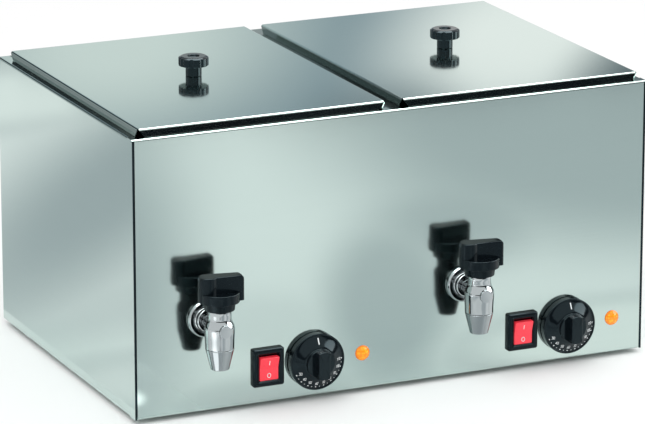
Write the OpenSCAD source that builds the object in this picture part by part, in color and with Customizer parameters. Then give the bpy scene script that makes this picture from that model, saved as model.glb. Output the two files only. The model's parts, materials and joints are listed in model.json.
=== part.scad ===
// Counter-top sausage warmer with two water wells, folded from stainless steel sheet.
// Each well has a lift-off lid, a drain tap, a rocker switch, a thermostat dial and a pilot lamp.
// Millimetres, +Z up, front panel towards -Y, table plane at Z = 0.

/* [Cabinet] */
// Width of the casing over both side panels
body_w = 550; // [495:1:620]
// Depth of the casing from the front panel to the rear frame
body_d = 360; // [358:1:420]
// Height of the casing from its underside to the top ledge
body_h = 278; // [262:1:310]
// Thickness of the casing sheet
sheet_t = 1; // [0.8:0.1:1.3]
// Outer radius of the folded edges
bend_r = 2; // [1.8:0.1:3]
// Width of the folded returns, measured from the outer face
return_w = 12; // [10:0.5:14]
// Thickness of the hem along the front edge of each side panel
hem_t = 2; // [1.6:0.1:2.4]
// Depth of that hem
hem_w = 9; // [6:0.5:11]
// Open seam between neighbouring sheets
seam_gap = 0.6; // [0.3:0.1:1]

/* [Feet] */
// Clear height under the casing
foot_h = 5; // [4:0.5:10]
// Diameter of a rubber foot
foot_d = 26; // [20:1:32]
// Distance of the foot axis from the casing sides
foot_inset = 48; // [36:1:60]

/* [Wells] */
// How far a lid reaches past the well opening on each side
lid_overlap = 16; // [13:0.5:20]
// Height of the tap axis above the well floor
drain_rise = 9; // [8:0.5:12]
// Corner radius of a well
well_r = 8; // [6:1:24]
// Width of the rim welded under the deck
rim_w = 6; // [4:0.5:8]

/* [Lids] */
// Width of the ledge left beside a lid
lid_side = 7.75; // [5:0.25:10]
// Width of the ledge left between the two lids
lid_gap = 17.5; // [14:0.5:24]
// Depth of a lid from front to back
lid_d = 339; // [325:0.5:341]
// Height of a lid over its flanges
lid_h = 8.4; // [7.6:0.1:12]
// Thickness of the lid sheet
lid_t = 0.8; // [0.6:0.1:1]
// Width of the ledge left in front of a lid
lid_front = 4.5; // [3:0.1:8]
// Slant of the flange ends at the open corners
lid_slant = 5; // [2:0.5:7]
// Air under the lid flanges
lid_air = 0.3; // [0.2:0.05:0.5]

/* [Lid knobs] */
// Diameter of the knob head
knob_d = 30; // [26:0.5:36]
// Thickness of the knob head
knob_head_h = 9.5; // [8:0.5:14]
// Diameter of the knob stem
knob_stem_d = 16; // [14:0.5:20]
// Height of the stem under the head
knob_stem_h = 10.5; // [6:0.5:14]
// Number of finger flutes
knob_flutes = 9; // [6:1:12]
// Diameter of the recess in the top of the knob
knob_eye_d = 11; // [8:0.5:13]
// Diameter of the lid screw
lid_screw_d = 6; // [5:0.5:8]

/* [Drain taps] */
// Sideways place of a tap from its well centre
tap_off = -63.5; // [-68:0.5:-56]
// Height of the tap shank above the casing underside
tap_z = 93.5; // [92:0.5:98]
// Distance of the tap axis from the front panel
tap_reach = 35; // [33:0.5:45]
// Diameter of the tap shank
shank_d = 16; // [14:0.5:18]
// Bore of the shank
shank_bore = 9; // [6:0.5:10]
// Diameter of the tap neck
neck_d = 23; // [22:0.5:26]
// Largest diameter of the tap body
bulge_d = 29.4; // [27:0.2:31]
// Diameter of the body where the nozzle starts
belly_d = 28; // [24:0.2:28.6]
// Height of the body above the shank axis
neck_top = 23.5; // [22:0.5:27]
// Depth of the body below the shank axis
body_drop = 19.5; // [18:0.5:22]
// Length of the nozzle
nozzle_h = 21; // [15:0.5:26]
// Outlet diameter of the nozzle
nozzle_d = 17.8; // [14:0.2:20]
// Diameter of the turning plug
plug_d = 16; // [14:0.5:17]
// Diameter of the stem of the plug
stem_d = 10; // [7:0.5:11]
// Diameter of the round cap on the front of the body
cap_d = 12.6; // [10:0.2:14]
// Distance of that cap from the tap axis
cap_reach = 16; // [15:0.5:18]
// Diameter of the wall flange
flange_d = 37; // [32:0.5:40]
// Thickness of the wall flange
flange_h = 4.5; // [3:0.5:6]
// Diameter of the hub of the wall flange
hub_d = 23; // [21:0.5:26]
// Length of that hub
hub_h = 9; // [7:0.5:11]
// Diameter of the bonnet ring
bonnet_d = 30.6; // [27:0.2:34]
// Thickness of the roof of the bonnet ring
bonnet_roof = 2.7; // [2:0.1:5]
// How far the bonnet ring grips over the neck
bonnet_grip = 5; // [1.5:0.5:6]

/* [Tap handles] */
// Diameter of the handle disc
handle_d = 39; // [34:0.5:40]
// Thickness of the handle disc
handle_disc_h = 9.8; // [8:0.2:13]
// Height of the whole handle
handle_h = 25.6; // [22:0.2:32]
// Length of the wing
wing_l = 44.6; // [42:0.2:50]
// How far the middle of the wing lies beside the tap axis, towards its tip
wing_off = 1.5; // [0:0.5:3]
// Diameter of the round grip at the thick end of the wing
wing_end_d = 18.6; // [16:0.2:20]
// Diameter of the round back corner at the tip of the wing
wing_tip_d = 9; // [7:0.5:11]
// How far the grip sits behind the tap axis
grip_set = 1.2; // [0:0.2:2]
// How far the grip stands out in front of the web
wing_step = 2.2; // [1.4:0.2:4]
// Radius between a grip end and the web
wing_fillet = 3; // [2:0.5:4]
// Radius of the upper corners of the wing
wing_r = 4; // [2:0.5:6]
// Turn of the closed handle away from square with the front panel, in degrees
handle_turn = -3; // [-10:1:10]

/* [Drain sockets] */
// Diameter of the socket welded to the well
socket_d = 24; // [22:0.5:26]
// Diameter of the drain hole in the well wall
drain_d = 12; // [9:0.5:13]
// Size across the flats of the lock nut
locknut_af = 24; // [22:0.5:26]
// Thickness of the lock nut
locknut_h = 5; // [4:0.5:6]

/* [Control row] */
// Height of the control row above the casing underside
row_z = 36.2; // [34:0.2:40]
// Sideways place of the switch from its well centre
switch_off = 1.3; // [-4:0.1:2]
// Sideways place of the dial from its well centre
dial_off = 51.5; // [49:0.5:54]
// Sideways place of the lamp from its well centre
lamp_off = 103; // [98:0.5:108]

/* [Rocker switches] */
// Width of the switch frame
frame_w = 32.6; // [30:0.2:35]
// Height of the switch frame
frame_h = 38.2; // [35:0.2:42]
// Height of the switch frame above the panel
frame_t = 5.6; // [4.6:0.2:7]
// Width of the rocker
rocker_w = 19.6; // [18:0.2:20]
// Height of the rocker
rocker_h = 23.8; // [22:0.2:25]
// Angle between the two rocker positions
rocker_swing = 16; // [10:1:20]
// Depth of the rocker pivot behind the panel face
rocker_pivot = 2.2; // [2:0.1:2.6]
// Height of the valley of the rocker face above the panel
rocker_face = 4.5; // [4:0.1:5]
// Diameter of the rocker pivot pins
rocker_pin_d = 3; // [2:0.5:3.5]
// Depth of the switch body behind the panel
switch_depth = 26; // [22:1:34]

/* [Thermostat dials] */
// Diameter of the dial skirt
dial_d = 57.2; // [52:0.2:60]
// Height of the dial skirt
dial_skirt_h = 7; // [5:0.5:9]
// Whole height of the dial above the panel
dial_h = 25; // [22:0.5:30]
// Diameter of the dial grip
grip_d = 29; // [24:0.5:32]
// Thickness of the bar across the grip
grip_bar = 12; // [9:0.5:16]
// Air between the dial and the panel
dial_air = 1; // [0.6:0.1:2]
// Diameter of the thermostat shaft
dial_shaft_d = 6; // [5:0.5:7]
// Size of the thermostat box across and up
stat_w = 38; // [34:1:42]
// Depth of the thermostat box
stat_depth = 32; // [26:1:40]
// Reach of the shaft into the thermostat box
shaft_reach = 12; // [8:1:16]
// Distance between the thermostat screws
stat_screw_pitch = 28; // [24:1:30]
// Diameter of the sensor bulb
bulb_d = 6; // [4:0.5:7]
// Length of the sensor bulb
bulb_l = 90; // [60:1:110]
// Diameter of the capillary tube
capillary_d = 2; // [1.6:0.1:2.6]

/* [Pilot lamps] */
// Diameter of the lamp lens
lens_d = 15.4; // [13:0.2:18]
// Height of the lens dome
lens_h = 3.2; // [3:0.2:5]
// Diameter of the lens stem
lens_stem_d = 9; // [7:0.5:10]
// Depth of the lamp holder behind the panel
lamp_depth = 24; // [18:1:32]

/* [Heaters] */
// Diameter of the tubular heater
heater_d = 8.4; // [6.4:0.2:10]
// Half the distance between the heater legs
heater_half = 35; // [28:1:38]
// Length of the straight heater legs
heater_leg = 170; // [140:1:200]
// Thickness of the clamp bars
clamp_t = 2; // [1.5:0.5:3]
// Width of the clamp bars
clamp_w = 16; // [12:1:22]
// Diameter of the welded clamp studs
stud_d = 5; // [4:0.5:6]
// Distance of a clamp stud from the sensor bulb
stud_clear = 3.7; // [3.6:0.1:6]
// Length of the connecting pins of the heater
heater_pin_l = 12; // [8:1:16]

/* [Supply] */
// Distance of the cable gland from the right side
gland_inset = 100; // [75:1:120]
// Height of the cable gland above the casing underside
gland_z = 34; // [30:0.5:40]
// Size across the flats of the cable gland
gland_af = 22; // [20:0.5:26]
// Bore of the cable gland
gland_bore = 9; // [7:0.5:11]
// Reach of the cable gland behind the casing
gland_reach = 20; // [18:0.5:26]
// Width of the terminal block
block_w = 48; // [36:1:60]
// Depth of the terminal block
block_d = 20; // [18:1:26]
// Distance of the terminal block from the rear frame
block_back = 70; // [60:1:90]
// Diameter of the wiring loom
loom_d = 7; // [5:0.5:8]

/* [Fasteners] */
// Diameter of the casing screws
screw_d = 4; // [3:0.5:4]
// Head diameter of the casing screws
screw_head_d = 7.6; // [7:0.2:8]
// Head height of the casing screws
screw_head_h = 2.2; // [1.6:0.2:2.4]

/* [Fits] */
// Radial clearance of turning fits
run_fit = 0.05; // [0.03:0.01:0.1]
// Radial clearance of through holes
hole_fit = 0.2; // [0.1:0.05:0.4]
// Air between pieces that move past one another
move_air = 0.4; // [0.3:0.05:0.6]

/* [Hidden] */
$fn = 72;
eps = 0.01;
steel_c = [0.76, 0.79, 0.79];
chrome_c = [0.84, 0.86, 0.87];
black_c = [0.10, 0.11, 0.12];
red_c = [0.90, 0.20, 0.22];
amber_c = [0.98, 0.62, 0.12];
brass_c = [0.78, 0.62, 0.30];
grey_c = [0.45, 0.46, 0.48];
white_c = [0.90, 0.90, 0.88];

z0 = foot_h;
z_top = foot_h + body_h;
front_reach = max(tap_reach + handle_d / 2, tap_reach + cap_reach);
body_y = (front_reach - gland_reach) / 2;
front_y = body_y - body_d / 2;
back_y = body_y + body_d / 2;
front_w = body_w - 2 * (hem_t + seam_gap);
lid_y = front_y + lid_front + lid_d / 2;
lid_w = (body_w - lid_gap) / 2 - lid_side;
well_pitch = lid_w + lid_gap;
well_w = lid_w - 2 * lid_overlap;
well_l = lid_d - 2 * lid_overlap;
well_floor = z0 + tap_z - drain_rise;
well_depth = z_top - well_floor;
well_under = well_floor - sheet_t;
well_front = lid_y - well_l / 2 - sheet_t;
rear_y = back_y - sheet_t;
deck_x = body_w / 2 - return_w - seam_gap;
deck_y = front_y + return_w + seam_gap;

flute_d = 6.4;
flute_place = knob_d / 2 + 2.2;
eye_depth = 2.5;

tap_y = front_y - tap_reach;
tap_h = z0 + tap_z;
bonnet_z = neck_top - bonnet_grip;
bonnet_h = bonnet_grip + bonnet_roof;
handle_z = bonnet_z + bonnet_h + move_air;
plug_foot = 10;
spigot_h = 4;
spigot_d = 14;
stem_top = handle_z + handle_disc_h - 1.5;
socket_front = front_y + sheet_t + locknut_h + seam_gap;
shank_end = well_front - 2;
heater_z = well_under - heater_d / 2;
clamp_z = well_under - heater_d - clamp_t;
clamp_front = lid_y - heater_leg / 4;
clamp_back = lid_y + heater_leg / 4;
stud_x = dial_off + bulb_d / 2 + stud_clear;
clamp_half = stud_x + stud_d;
nut_af = stud_d * 1.6;
nut_h = stud_d * 0.8;
stud_l = heater_d + clamp_t + nut_h + 2;
switch_w = frame_w - 5;
switch_h = frame_h - 5.6;
rocker_lean = rocker_swing / 2;
rocker_rise = rocker_face + rocker_pivot;
rocker_tip = rocker_rise + rocker_h / 2 * tan(rocker_lean);
rocker_room = rocker_h / 2 * cos(rocker_lean) + rocker_tip * sin(rocker_lean) + move_air;
rocker_foot = 4;
rocker_sink = 9;
rocker_bay = rocker_w / 2 + move_air;
stat_bush_d = dial_shaft_d + 3.4;
stat_back = sheet_t + stat_depth;
stat_screw_l = 8;
shaft_sink = sheet_t + shaft_reach;
stat_y = front_y + stat_back;
lens_stem_l = sheet_t + 6;
lamp_nut_h = 2.5;
capillary_z = z0 + row_z + 6;
capillary_run = 10;
capillary_r = 8;
bulb_z = well_under - bulb_d / 2 - run_fit;
bulb_y = stat_y + capillary_run + 2 * capillary_r;
grip_z = dial_h - 5;
cone_z = dial_air + dial_skirt_h;
shoulder_z = cone_z + 5;
gland_x = body_w / 2 - gland_inset;
block_y = back_y - block_back;
block_h = 16;
loom_z = z0 + 2 * sheet_t + loom_d / 2 + 1;
loom_r = 1.6 * loom_d;
loom_gap = 14;
loom_y = front_y + switch_depth + sheet_t + loom_r + loom_gap;
foot_recess = 1.6;
foot_x = body_w / 2 - foot_inset;
foot_y = body_d / 2 - foot_inset;
side_screws = [-1, 0, 1];

// Shared shapes

function unit_x(side) = side * well_pitch / 2;

function loom_x(side) = unit_x(side) + switch_off;

module at_panel(x, z) {
  translate([x, front_y, z0 + z]) rotate([90, 0, 0]) children();
}

module at_tap(side) {
  translate([unit_x(side) + tap_off, tap_y, tap_h]) children();
}

module round_rect(w, d, r) {
  square([w - 2 * r, d], center = true);
  square([w, d - 2 * r], center = true);
  for (sx = [-1, 1]) for (sy = [-1, 1]) translate([sx * (w / 2 - r), sy * (d / 2 - r)]) circle(r = r);
}

module fold(len, r, t) {
  rotate_extrude(angle = 90) translate([r - t, 0]) square([t, len]);
}

module fold_x(len, turn, r, t) {
  rotate([turn, 0, 0]) rotate([0, 90, 0]) fold(len, r, t);
}

module fold_y(len, turn, r, t) {
  rotate([0, turn, 0]) rotate([-90, 0, 0]) fold(len, r, t);
}

module hex(af, h) {
  cylinder(d = af / cos(30), h = h, $fn = 6);
}

module screw(d, len, head_d, head_h) {
  translate([0, 0, -len]) cylinder(d = d, h = len + eps);
  difference() {
    cylinder(d = head_d, h = head_h);
    translate([-head_d, -head_d / 16, head_h * 0.6]) cube([2 * head_d, head_d / 8, head_h]);
  }
}

module elbow(bend, d) {
  rotate_extrude(angle = 90) translate([bend, 0]) circle(d = d);
}

// Cabinet

module front_panel() color(steel_c) difference() {
  union() {
    translate([-front_w / 2, front_y, z0 + bend_r])
      cube([front_w, sheet_t, body_h - 2 * bend_r]);
    translate([-body_w / 2, front_y + bend_r, z_top - bend_r])
      fold_x(body_w, 180, bend_r, sheet_t);
    translate([-body_w / 2, front_y + bend_r, z_top - sheet_t])
      cube([body_w, return_w - bend_r, sheet_t]);
    translate([-front_w / 2, front_y + bend_r, z0 + bend_r])
      fold_x(front_w, 270, bend_r, sheet_t);
    translate([-front_w / 2, front_y + bend_r, z0])
      cube([front_w, return_w - bend_r, sheet_t]);
    for (side = [-1, 1])
      translate([side * (front_w / 2 - sheet_t / 2) - sheet_t / 2, front_y, z0 + return_w])
        cube([sheet_t, hem_w, body_h - 2 * return_w]);
  }
  for (side = [-1, 1]) {
    at_panel(unit_x(side) + tap_off, tap_z) translate([0, 0, -2 * sheet_t])
      cylinder(d = shank_d + 2 * hole_fit, h = 3 * sheet_t);
    at_panel(unit_x(side) + switch_off, row_z)
      cube([switch_w + 2 * hole_fit, switch_h + 2 * hole_fit, 4 * sheet_t], center = true);
    at_panel(unit_x(side) + dial_off, row_z) translate([0, 0, -2 * sheet_t])
      cylinder(d = stat_bush_d + 2 * hole_fit, h = 3 * sheet_t);
    for (up = [-1, 1]) at_panel(unit_x(side) + dial_off, row_z + up * stat_screw_pitch / 2)
      translate([0, 0, -2 * sheet_t]) cylinder(d = screw_d + 2 * hole_fit, h = 3 * sheet_t);
    at_panel(unit_x(side) + lamp_off, row_z) translate([0, 0, -2 * sheet_t])
      cylinder(d = lens_stem_d + 2 * hole_fit, h = 3 * sheet_t);
  }
}

module side_sheet() difference() {
  union() {
    translate([body_w / 2 - sheet_t, front_y, z0])
      cube([sheet_t, return_w + seam_gap, body_h - sheet_t]);
    translate([body_w / 2 - hem_t, front_y, z0])
      cube([hem_t, hem_w, body_h - sheet_t]);
    translate([body_w / 2 - sheet_t, deck_y, z0 + bend_r])
      cube([sheet_t, body_d - return_w - seam_gap - bend_r, body_h - 2 * bend_r]);
    translate([body_w / 2 - bend_r, deck_y, z_top - bend_r])
      fold_y(body_d - return_w - seam_gap - bend_r, 270, bend_r, sheet_t);
    translate([body_w / 2 - return_w, deck_y, z_top - sheet_t])
      cube([return_w - bend_r, body_d - return_w - seam_gap - bend_r, sheet_t]);
    translate([body_w / 2 - bend_r, deck_y, z0 + bend_r])
      fold_y(body_d - return_w - seam_gap - bend_r, 0, bend_r, sheet_t);
    translate([body_w / 2 - return_w, deck_y, z0])
      cube([return_w - bend_r, body_d - return_w - seam_gap - bend_r, sheet_t]);
    translate([body_w / 2 - bend_r, back_y - bend_r, z0 + bend_r])
      fold(body_h - 2 * bend_r, bend_r, sheet_t);
    translate([body_w / 2 - return_w, back_y - sheet_t, z0 + bend_r])
      cube([return_w - bend_r, sheet_t, body_h - 2 * bend_r]);
  }
  for (k = side_screws) {
    translate([body_w / 2 - return_w / 2, body_y + k * body_d / 3, z0 - sheet_t])
      cylinder(d = screw_d + 2 * hole_fit, h = 3 * sheet_t);
    translate([body_w / 2 - return_w / 2, back_y + sheet_t, z0 + body_h / 2 + k * body_h / 3])
      rotate([90, 0, 0]) cylinder(d = screw_d + 2 * hole_fit, h = 3 * sheet_t);
  }
}

module side_panel_left() color(steel_c) mirror([1, 0, 0]) side_sheet();

module side_panel_right() color(steel_c) side_sheet();

module rear_panel() color(steel_c) difference() {
  translate([-body_w / 2 + 2 * sheet_t, rear_y - sheet_t, z0 + 2 * sheet_t + seam_gap])
    cube([body_w - 4 * sheet_t, sheet_t, body_h - 3 * sheet_t - 2 * seam_gap]);
  for (side = [-1, 1]) for (k = side_screws)
    translate([side * (body_w / 2 - return_w / 2), back_y, z0 + body_h / 2 + k * body_h / 3])
      rotate([90, 0, 0]) cylinder(d = screw_d + 2 * hole_fit, h = 4 * sheet_t);
  for (k = side_screws)
    translate([k * body_w / 3, back_y, z_top - return_w / 2 - bend_r / 2])
      rotate([90, 0, 0]) cylinder(d = screw_d + 2 * hole_fit, h = 4 * sheet_t);
  translate([gland_x, back_y, z0 + gland_z])
    rotate([90, 0, 0]) cylinder(d = gland_af * 0.72 + 2 * hole_fit, h = 4 * sheet_t);
}

module top_deck() color(steel_c) difference() {
  union() {
    translate([-deck_x, deck_y, z_top - sheet_t])
      cube([2 * deck_x, back_y - bend_r - deck_y, sheet_t]);
    translate([-deck_x, back_y - bend_r, z_top - bend_r])
      fold_x(2 * deck_x, 90, bend_r, sheet_t);
    translate([-deck_x, back_y - sheet_t, z_top - return_w])
      cube([2 * deck_x, sheet_t, return_w - bend_r]);
  }
  for (side = [-1, 1]) translate([unit_x(side), lid_y, z_top - 2 * sheet_t])
    linear_extrude(3 * sheet_t) round_rect(well_w, well_l, well_r);
  for (k = side_screws)
    translate([k * body_w / 3, back_y + sheet_t, z_top - return_w / 2 - bend_r / 2])
      rotate([90, 0, 0]) cylinder(d = screw_d + 2 * hole_fit, h = 3 * sheet_t);
}

module base_plate() color(steel_c) difference() {
  translate([-body_w / 2 + 2 * sheet_t, front_y + 2 * sheet_t, z0 + sheet_t])
    cube([body_w - 4 * sheet_t, body_d - 5 * sheet_t, sheet_t]);
  for (side = [-1, 1]) for (k = side_screws)
    translate([side * (body_w / 2 - return_w / 2), body_y + k * body_d / 3, z0])
      cylinder(d = screw_d + 2 * hole_fit, h = 3 * sheet_t);
  for (sx = [-1, 1]) for (sy = [-1, 1])
    translate([sx * foot_x, body_y + sy * foot_y, z0])
      cylinder(d = screw_d + 2 * hole_fit, h = 3 * sheet_t);
  for (side = [-1, 1]) for (k = [-2:2])
    translate([unit_x(side) - body_w / 18, body_y + k * body_d / 24 - 2.5, z0])
      cube([body_w / 9, 5, 3 * sheet_t]);
}

module rubber_feet() color(black_c) for (sx = [-1, 1]) for (sy = [-1, 1])
  translate([sx * foot_x, body_y + sy * foot_y, 0]) difference() {
    rotate_extrude() polygon([[0, 0], [foot_d / 2 - 2, 0], [foot_d / 2, 2],
      [foot_d / 2, foot_h + sheet_t], [0, foot_h + sheet_t]]);
    translate([0, 0, -1]) cylinder(d = screw_head_d + 2, h = foot_recess + screw_head_h + 1);
    cylinder(d = screw_d + 2 * hole_fit, h = foot_h + 2 * sheet_t);
  }

module foot_screws() color(chrome_c) for (sx = [-1, 1]) for (sy = [-1, 1])
  translate([sx * foot_x, body_y + sy * foot_y, foot_recess + screw_head_h]) rotate([180, 0, 0])
    screw(screw_d, foot_h + 5 * sheet_t - foot_recess - screw_head_h, screw_head_d, screw_head_h);

module base_screws() color(chrome_c) for (side = [-1, 1]) for (k = side_screws)
  translate([side * (body_w / 2 - return_w / 2), body_y + k * body_d / 3, z0]) rotate([180, 0, 0])
    screw(screw_d, 6 * sheet_t, screw_head_d, screw_head_h);

module rear_screws() color(chrome_c) {
  for (side = [-1, 1]) for (k = side_screws)
    translate([side * (body_w / 2 - return_w / 2), back_y, z0 + body_h / 2 + k * body_h / 3])
      rotate([-90, 0, 0]) screw(screw_d, 6 * sheet_t, screw_head_d, screw_head_h);
  for (k = side_screws)
    translate([k * body_w / 3, back_y, z_top - return_w / 2 - bend_r / 2])
      rotate([-90, 0, 0]) screw(screw_d, 6 * sheet_t, screw_head_d, screw_head_h);
}

// Wells and heaters

module well(side) color(steel_c) difference() {
  union() {
    translate([unit_x(side), lid_y, z_top - 2 * sheet_t]) linear_extrude(sheet_t)
      round_rect(well_w + 2 * (sheet_t + rim_w), well_l + 2 * (sheet_t + rim_w), well_r + rim_w);
    translate([unit_x(side), lid_y, well_under]) linear_extrude(z_top - sheet_t - well_under)
      round_rect(well_w + 2 * sheet_t, well_l + 2 * sheet_t, well_r + sheet_t);
    for (sx = [-1, 1]) for (y = [clamp_front, clamp_back])
      translate([unit_x(side) + sx * stud_x, y, well_under - stud_l]) cylinder(d = stud_d, h = stud_l + eps);
  }
  translate([unit_x(side), lid_y, well_floor]) linear_extrude(well_depth)
    round_rect(well_w, well_l, well_r);
  translate([unit_x(side) + tap_off, well_front + 3 * sheet_t, tap_h])
    rotate([90, 0, 0]) cylinder(d = drain_d, h = 6 * sheet_t);
}

module drain_socket(side) color(chrome_c)
  translate([unit_x(side) + tap_off, well_front, tap_h]) rotate([90, 0, 0]) difference() {
    cylinder(d = socket_d, h = well_front - socket_front);
    translate([0, 0, -1]) cylinder(d = drain_d, h = 4);
    translate([0, 0, 2]) cylinder(d = shank_d + 2 * run_fit, h = well_front - socket_front);
  }

module heater(side) color(grey_c) translate([unit_x(side), lid_y, heater_z - run_fit]) {
  for (sx = [-1, 1]) translate([sx * heater_half, -heater_leg / 2, 0]) rotate([-90, 0, 0]) {
    cylinder(d = heater_d, h = heater_leg);
    translate([0, 0, heater_leg]) cylinder(d = heater_d / 3, h = heater_pin_l);
  }
  translate([0, -heater_leg / 2, 0]) rotate([0, 0, 180])
    rotate_extrude(angle = 180) translate([heater_half, 0]) circle(d = heater_d);
}

module heater_clamps(side) color(chrome_c) for (y = [clamp_front, clamp_back]) difference() {
  translate([unit_x(side) - clamp_half, y - clamp_w / 2, clamp_z - 2 * run_fit])
    cube([2 * clamp_half, clamp_w, clamp_t]);
  for (sx = [-1, 1]) translate([unit_x(side) + sx * stud_x, y, clamp_z - clamp_t])
    cylinder(d = stud_d + 2 * hole_fit, h = 3 * clamp_t);
}

module heater_nuts() color(chrome_c) for (side = [-1, 1]) for (sx = [-1, 1])
  for (y = [clamp_front, clamp_back])
    translate([unit_x(side) + sx * stud_x, y, clamp_z - 2 * run_fit - nut_h]) difference() {
      hex(nut_af, nut_h);
      translate([0, 0, -1]) cylinder(d = stud_d + 2 * run_fit, h = nut_h + 2);
    }

// Lids

module lid_flange(len) {
  rotate([90, 0, 0]) linear_extrude(lid_t, center = true)
    polygon([[-len / 2, 0], [len / 2, 0], [len / 2 - lid_slant, bend_r - lid_h],
      [lid_slant - len / 2, bend_r - lid_h]]);
}

module lid(side) color(steel_c) translate([unit_x(side), lid_y, z_top + lid_air]) difference() {
  union() {
    translate([-lid_w / 2 + bend_r, -lid_d / 2 + bend_r, lid_h - lid_t])
      cube([lid_w - 2 * bend_r, lid_d - 2 * bend_r, lid_t]);
    translate([bend_r - lid_w / 2, bend_r - lid_d / 2, lid_h - bend_r])
      fold_x(lid_w - 2 * bend_r, 180, bend_r, lid_t);
    translate([bend_r - lid_w / 2, lid_d / 2 - bend_r, lid_h - bend_r])
      fold_x(lid_w - 2 * bend_r, 90, bend_r, lid_t);
    translate([lid_w / 2 - bend_r, bend_r - lid_d / 2, lid_h - bend_r])
      fold_y(lid_d - 2 * bend_r, 270, bend_r, lid_t);
    translate([bend_r - lid_w / 2, bend_r - lid_d / 2, lid_h - bend_r])
      fold_y(lid_d - 2 * bend_r, 180, bend_r, lid_t);
    for (sy = [-1, 1]) translate([0, sy * (lid_d / 2 - lid_t / 2), lid_h - bend_r])
      lid_flange(lid_w - 2 * bend_r);
    for (sx = [-1, 1]) translate([sx * (lid_w / 2 - lid_t / 2), 0, lid_h - bend_r])
      rotate([0, 0, 90]) lid_flange(lid_d - 2 * bend_r);
  }
  translate([0, 0, lid_h - 2 * lid_t]) cylinder(d = lid_screw_d + 2 * hole_fit, h = 3 * lid_t);
}

module lid_knob(side) color(black_c) translate([unit_x(side), lid_y, z_top + lid_air + lid_h])
  difference() {
    union() {
      cylinder(d = knob_stem_d, h = knob_stem_h + eps);
      translate([0, 0, knob_stem_h]) rotate_extrude()
        polygon([[0, 0], [knob_d / 2 - 1, 0], [knob_d / 2, 1], [knob_d / 2, knob_head_h - 2],
          [knob_d / 2 - 2, knob_head_h - 0.5], [knob_d / 2 - 4, knob_head_h], [0, knob_head_h]]);
    }
    for (k = [0:knob_flutes - 1]) rotate([0, 0, k * 360 / knob_flutes])
      translate([flute_place, 0, knob_stem_h - 1]) cylinder(d = flute_d, h = knob_head_h + 2);
    translate([0, 0, knob_stem_h + knob_head_h - eye_depth]) cylinder(d = knob_eye_d, h = 2 * eye_depth);
    translate([0, 0, -1]) cylinder(d = lid_screw_d + 2 * run_fit, h = knob_stem_h + 1);
  }

module lid_screw(side) color(chrome_c)
  translate([unit_x(side), lid_y, z_top + lid_air + lid_h - lid_t]) rotate([180, 0, 0])
    screw(lid_screw_d, knob_stem_h + lid_t - 1, 2 * lid_screw_d, lid_screw_d / 2);

// Drain taps

module tap_flange(side) color(chrome_c) at_panel(unit_x(side) + tap_off, tap_z) difference() {
  rotate_extrude() polygon([[0, 0], [flange_d / 2, 0], [flange_d / 2, flange_h / 2],
    [flange_d / 2 - flange_h / 4, flange_h], [hub_d / 2 + 2, flange_h], [hub_d / 2 + 1, flange_h - 1],
    [hub_d / 2, flange_h], [hub_d / 2, hub_h - 1], [hub_d / 2 - 1, hub_h], [0, hub_h]]);
  translate([0, 0, -1]) cylinder(d = shank_d + 2 * run_fit, h = hub_h + 2);
}

module tap_body(side) color(chrome_c) at_tap(side) difference() {
  union() {
    rotate_extrude() polygon(concat([[0, -body_drop], [belly_d / 2 - 0.5, -body_drop],
      [belly_d / 2, 0.5 - body_drop], [bulge_d / 2, -6]],
      [for (i = [0:8]) [neck_d / 2 + (bulge_d - neck_d) / 4 * (1 + cos(i * 22.5)), 1 + i]],
      [[neck_d / 2, neck_top], [0, neck_top]]));
    rotate([90, 0, 0]) cylinder(d = cap_d, h = cap_reach);
    rotate([-90, 0, 0]) cylinder(d = shank_d, h = shank_end - tap_y);
  }
  translate([0, 0, -plug_foot]) cylinder(d = plug_d, h = plug_foot + neck_top + 1);
  translate([0, 0, -body_drop - 1]) cylinder(d = spigot_d + 2 * run_fit, h = spigot_h + 1);
  translate([0, 0, -body_drop]) cylinder(d = shank_bore, h = body_drop);
  rotate([-90, 0, 0]) cylinder(d = shank_bore, h = shank_end - tap_y + 1);
}

module tap_nozzle(side) color(chrome_c) at_tap(side) difference() {
  union() {
    translate([0, 0, -body_drop - nozzle_h]) rotate_extrude() polygon([[0, 0], [nozzle_d / 2 - 1, 0],
      [nozzle_d / 2, 1], [belly_d / 2, nozzle_h - 0.8], [belly_d / 2 - 0.6, nozzle_h], [0, nozzle_h]]);
    translate([0, 0, -body_drop - eps]) cylinder(d = spigot_d, h = spigot_h);
  }
  translate([0, 0, -body_drop - nozzle_h - 1]) cylinder(d = shank_bore + 1, h = nozzle_h + spigot_h + 2);
}

module tap_bonnet(side) color(black_c) at_tap(side) translate([0, 0, bonnet_z]) difference() {
  rotate_extrude() polygon([[0, 0], [bonnet_d / 2 - 0.8, 0], [bonnet_d / 2, 0.8],
    [bonnet_d / 2, bonnet_h], [0, bonnet_h]]);
  translate([0, 0, -1]) cylinder(d = neck_d + 2 * run_fit, h = bonnet_grip + 1);
  cylinder(d = stem_d + 2 * run_fit, h = bonnet_h + 1);
}

module tap_plug(side) color(brass_c) at_tap(side) difference() {
  union() {
    translate([0, 0, move_air - plug_foot])
      cylinder(d = plug_d - 2 * run_fit, h = plug_foot + neck_top - 2 * move_air);
    cylinder(d = stem_d, h = stem_top);
  }
  translate([0, 0, -plug_foot]) cylinder(d = shank_bore, h = plug_foot);
  rotate([0, 90, 0]) cylinder(d = shank_bore, h = plug_d);
  sphere(d = shank_bore);
}

function arc_points(centre, radius, from, to, steps, first = 0) = [for (i = [first:steps])
  centre + radius * [cos(from + (to - from) * i / steps), sin(from + (to - from) * i / steps)]];

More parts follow.
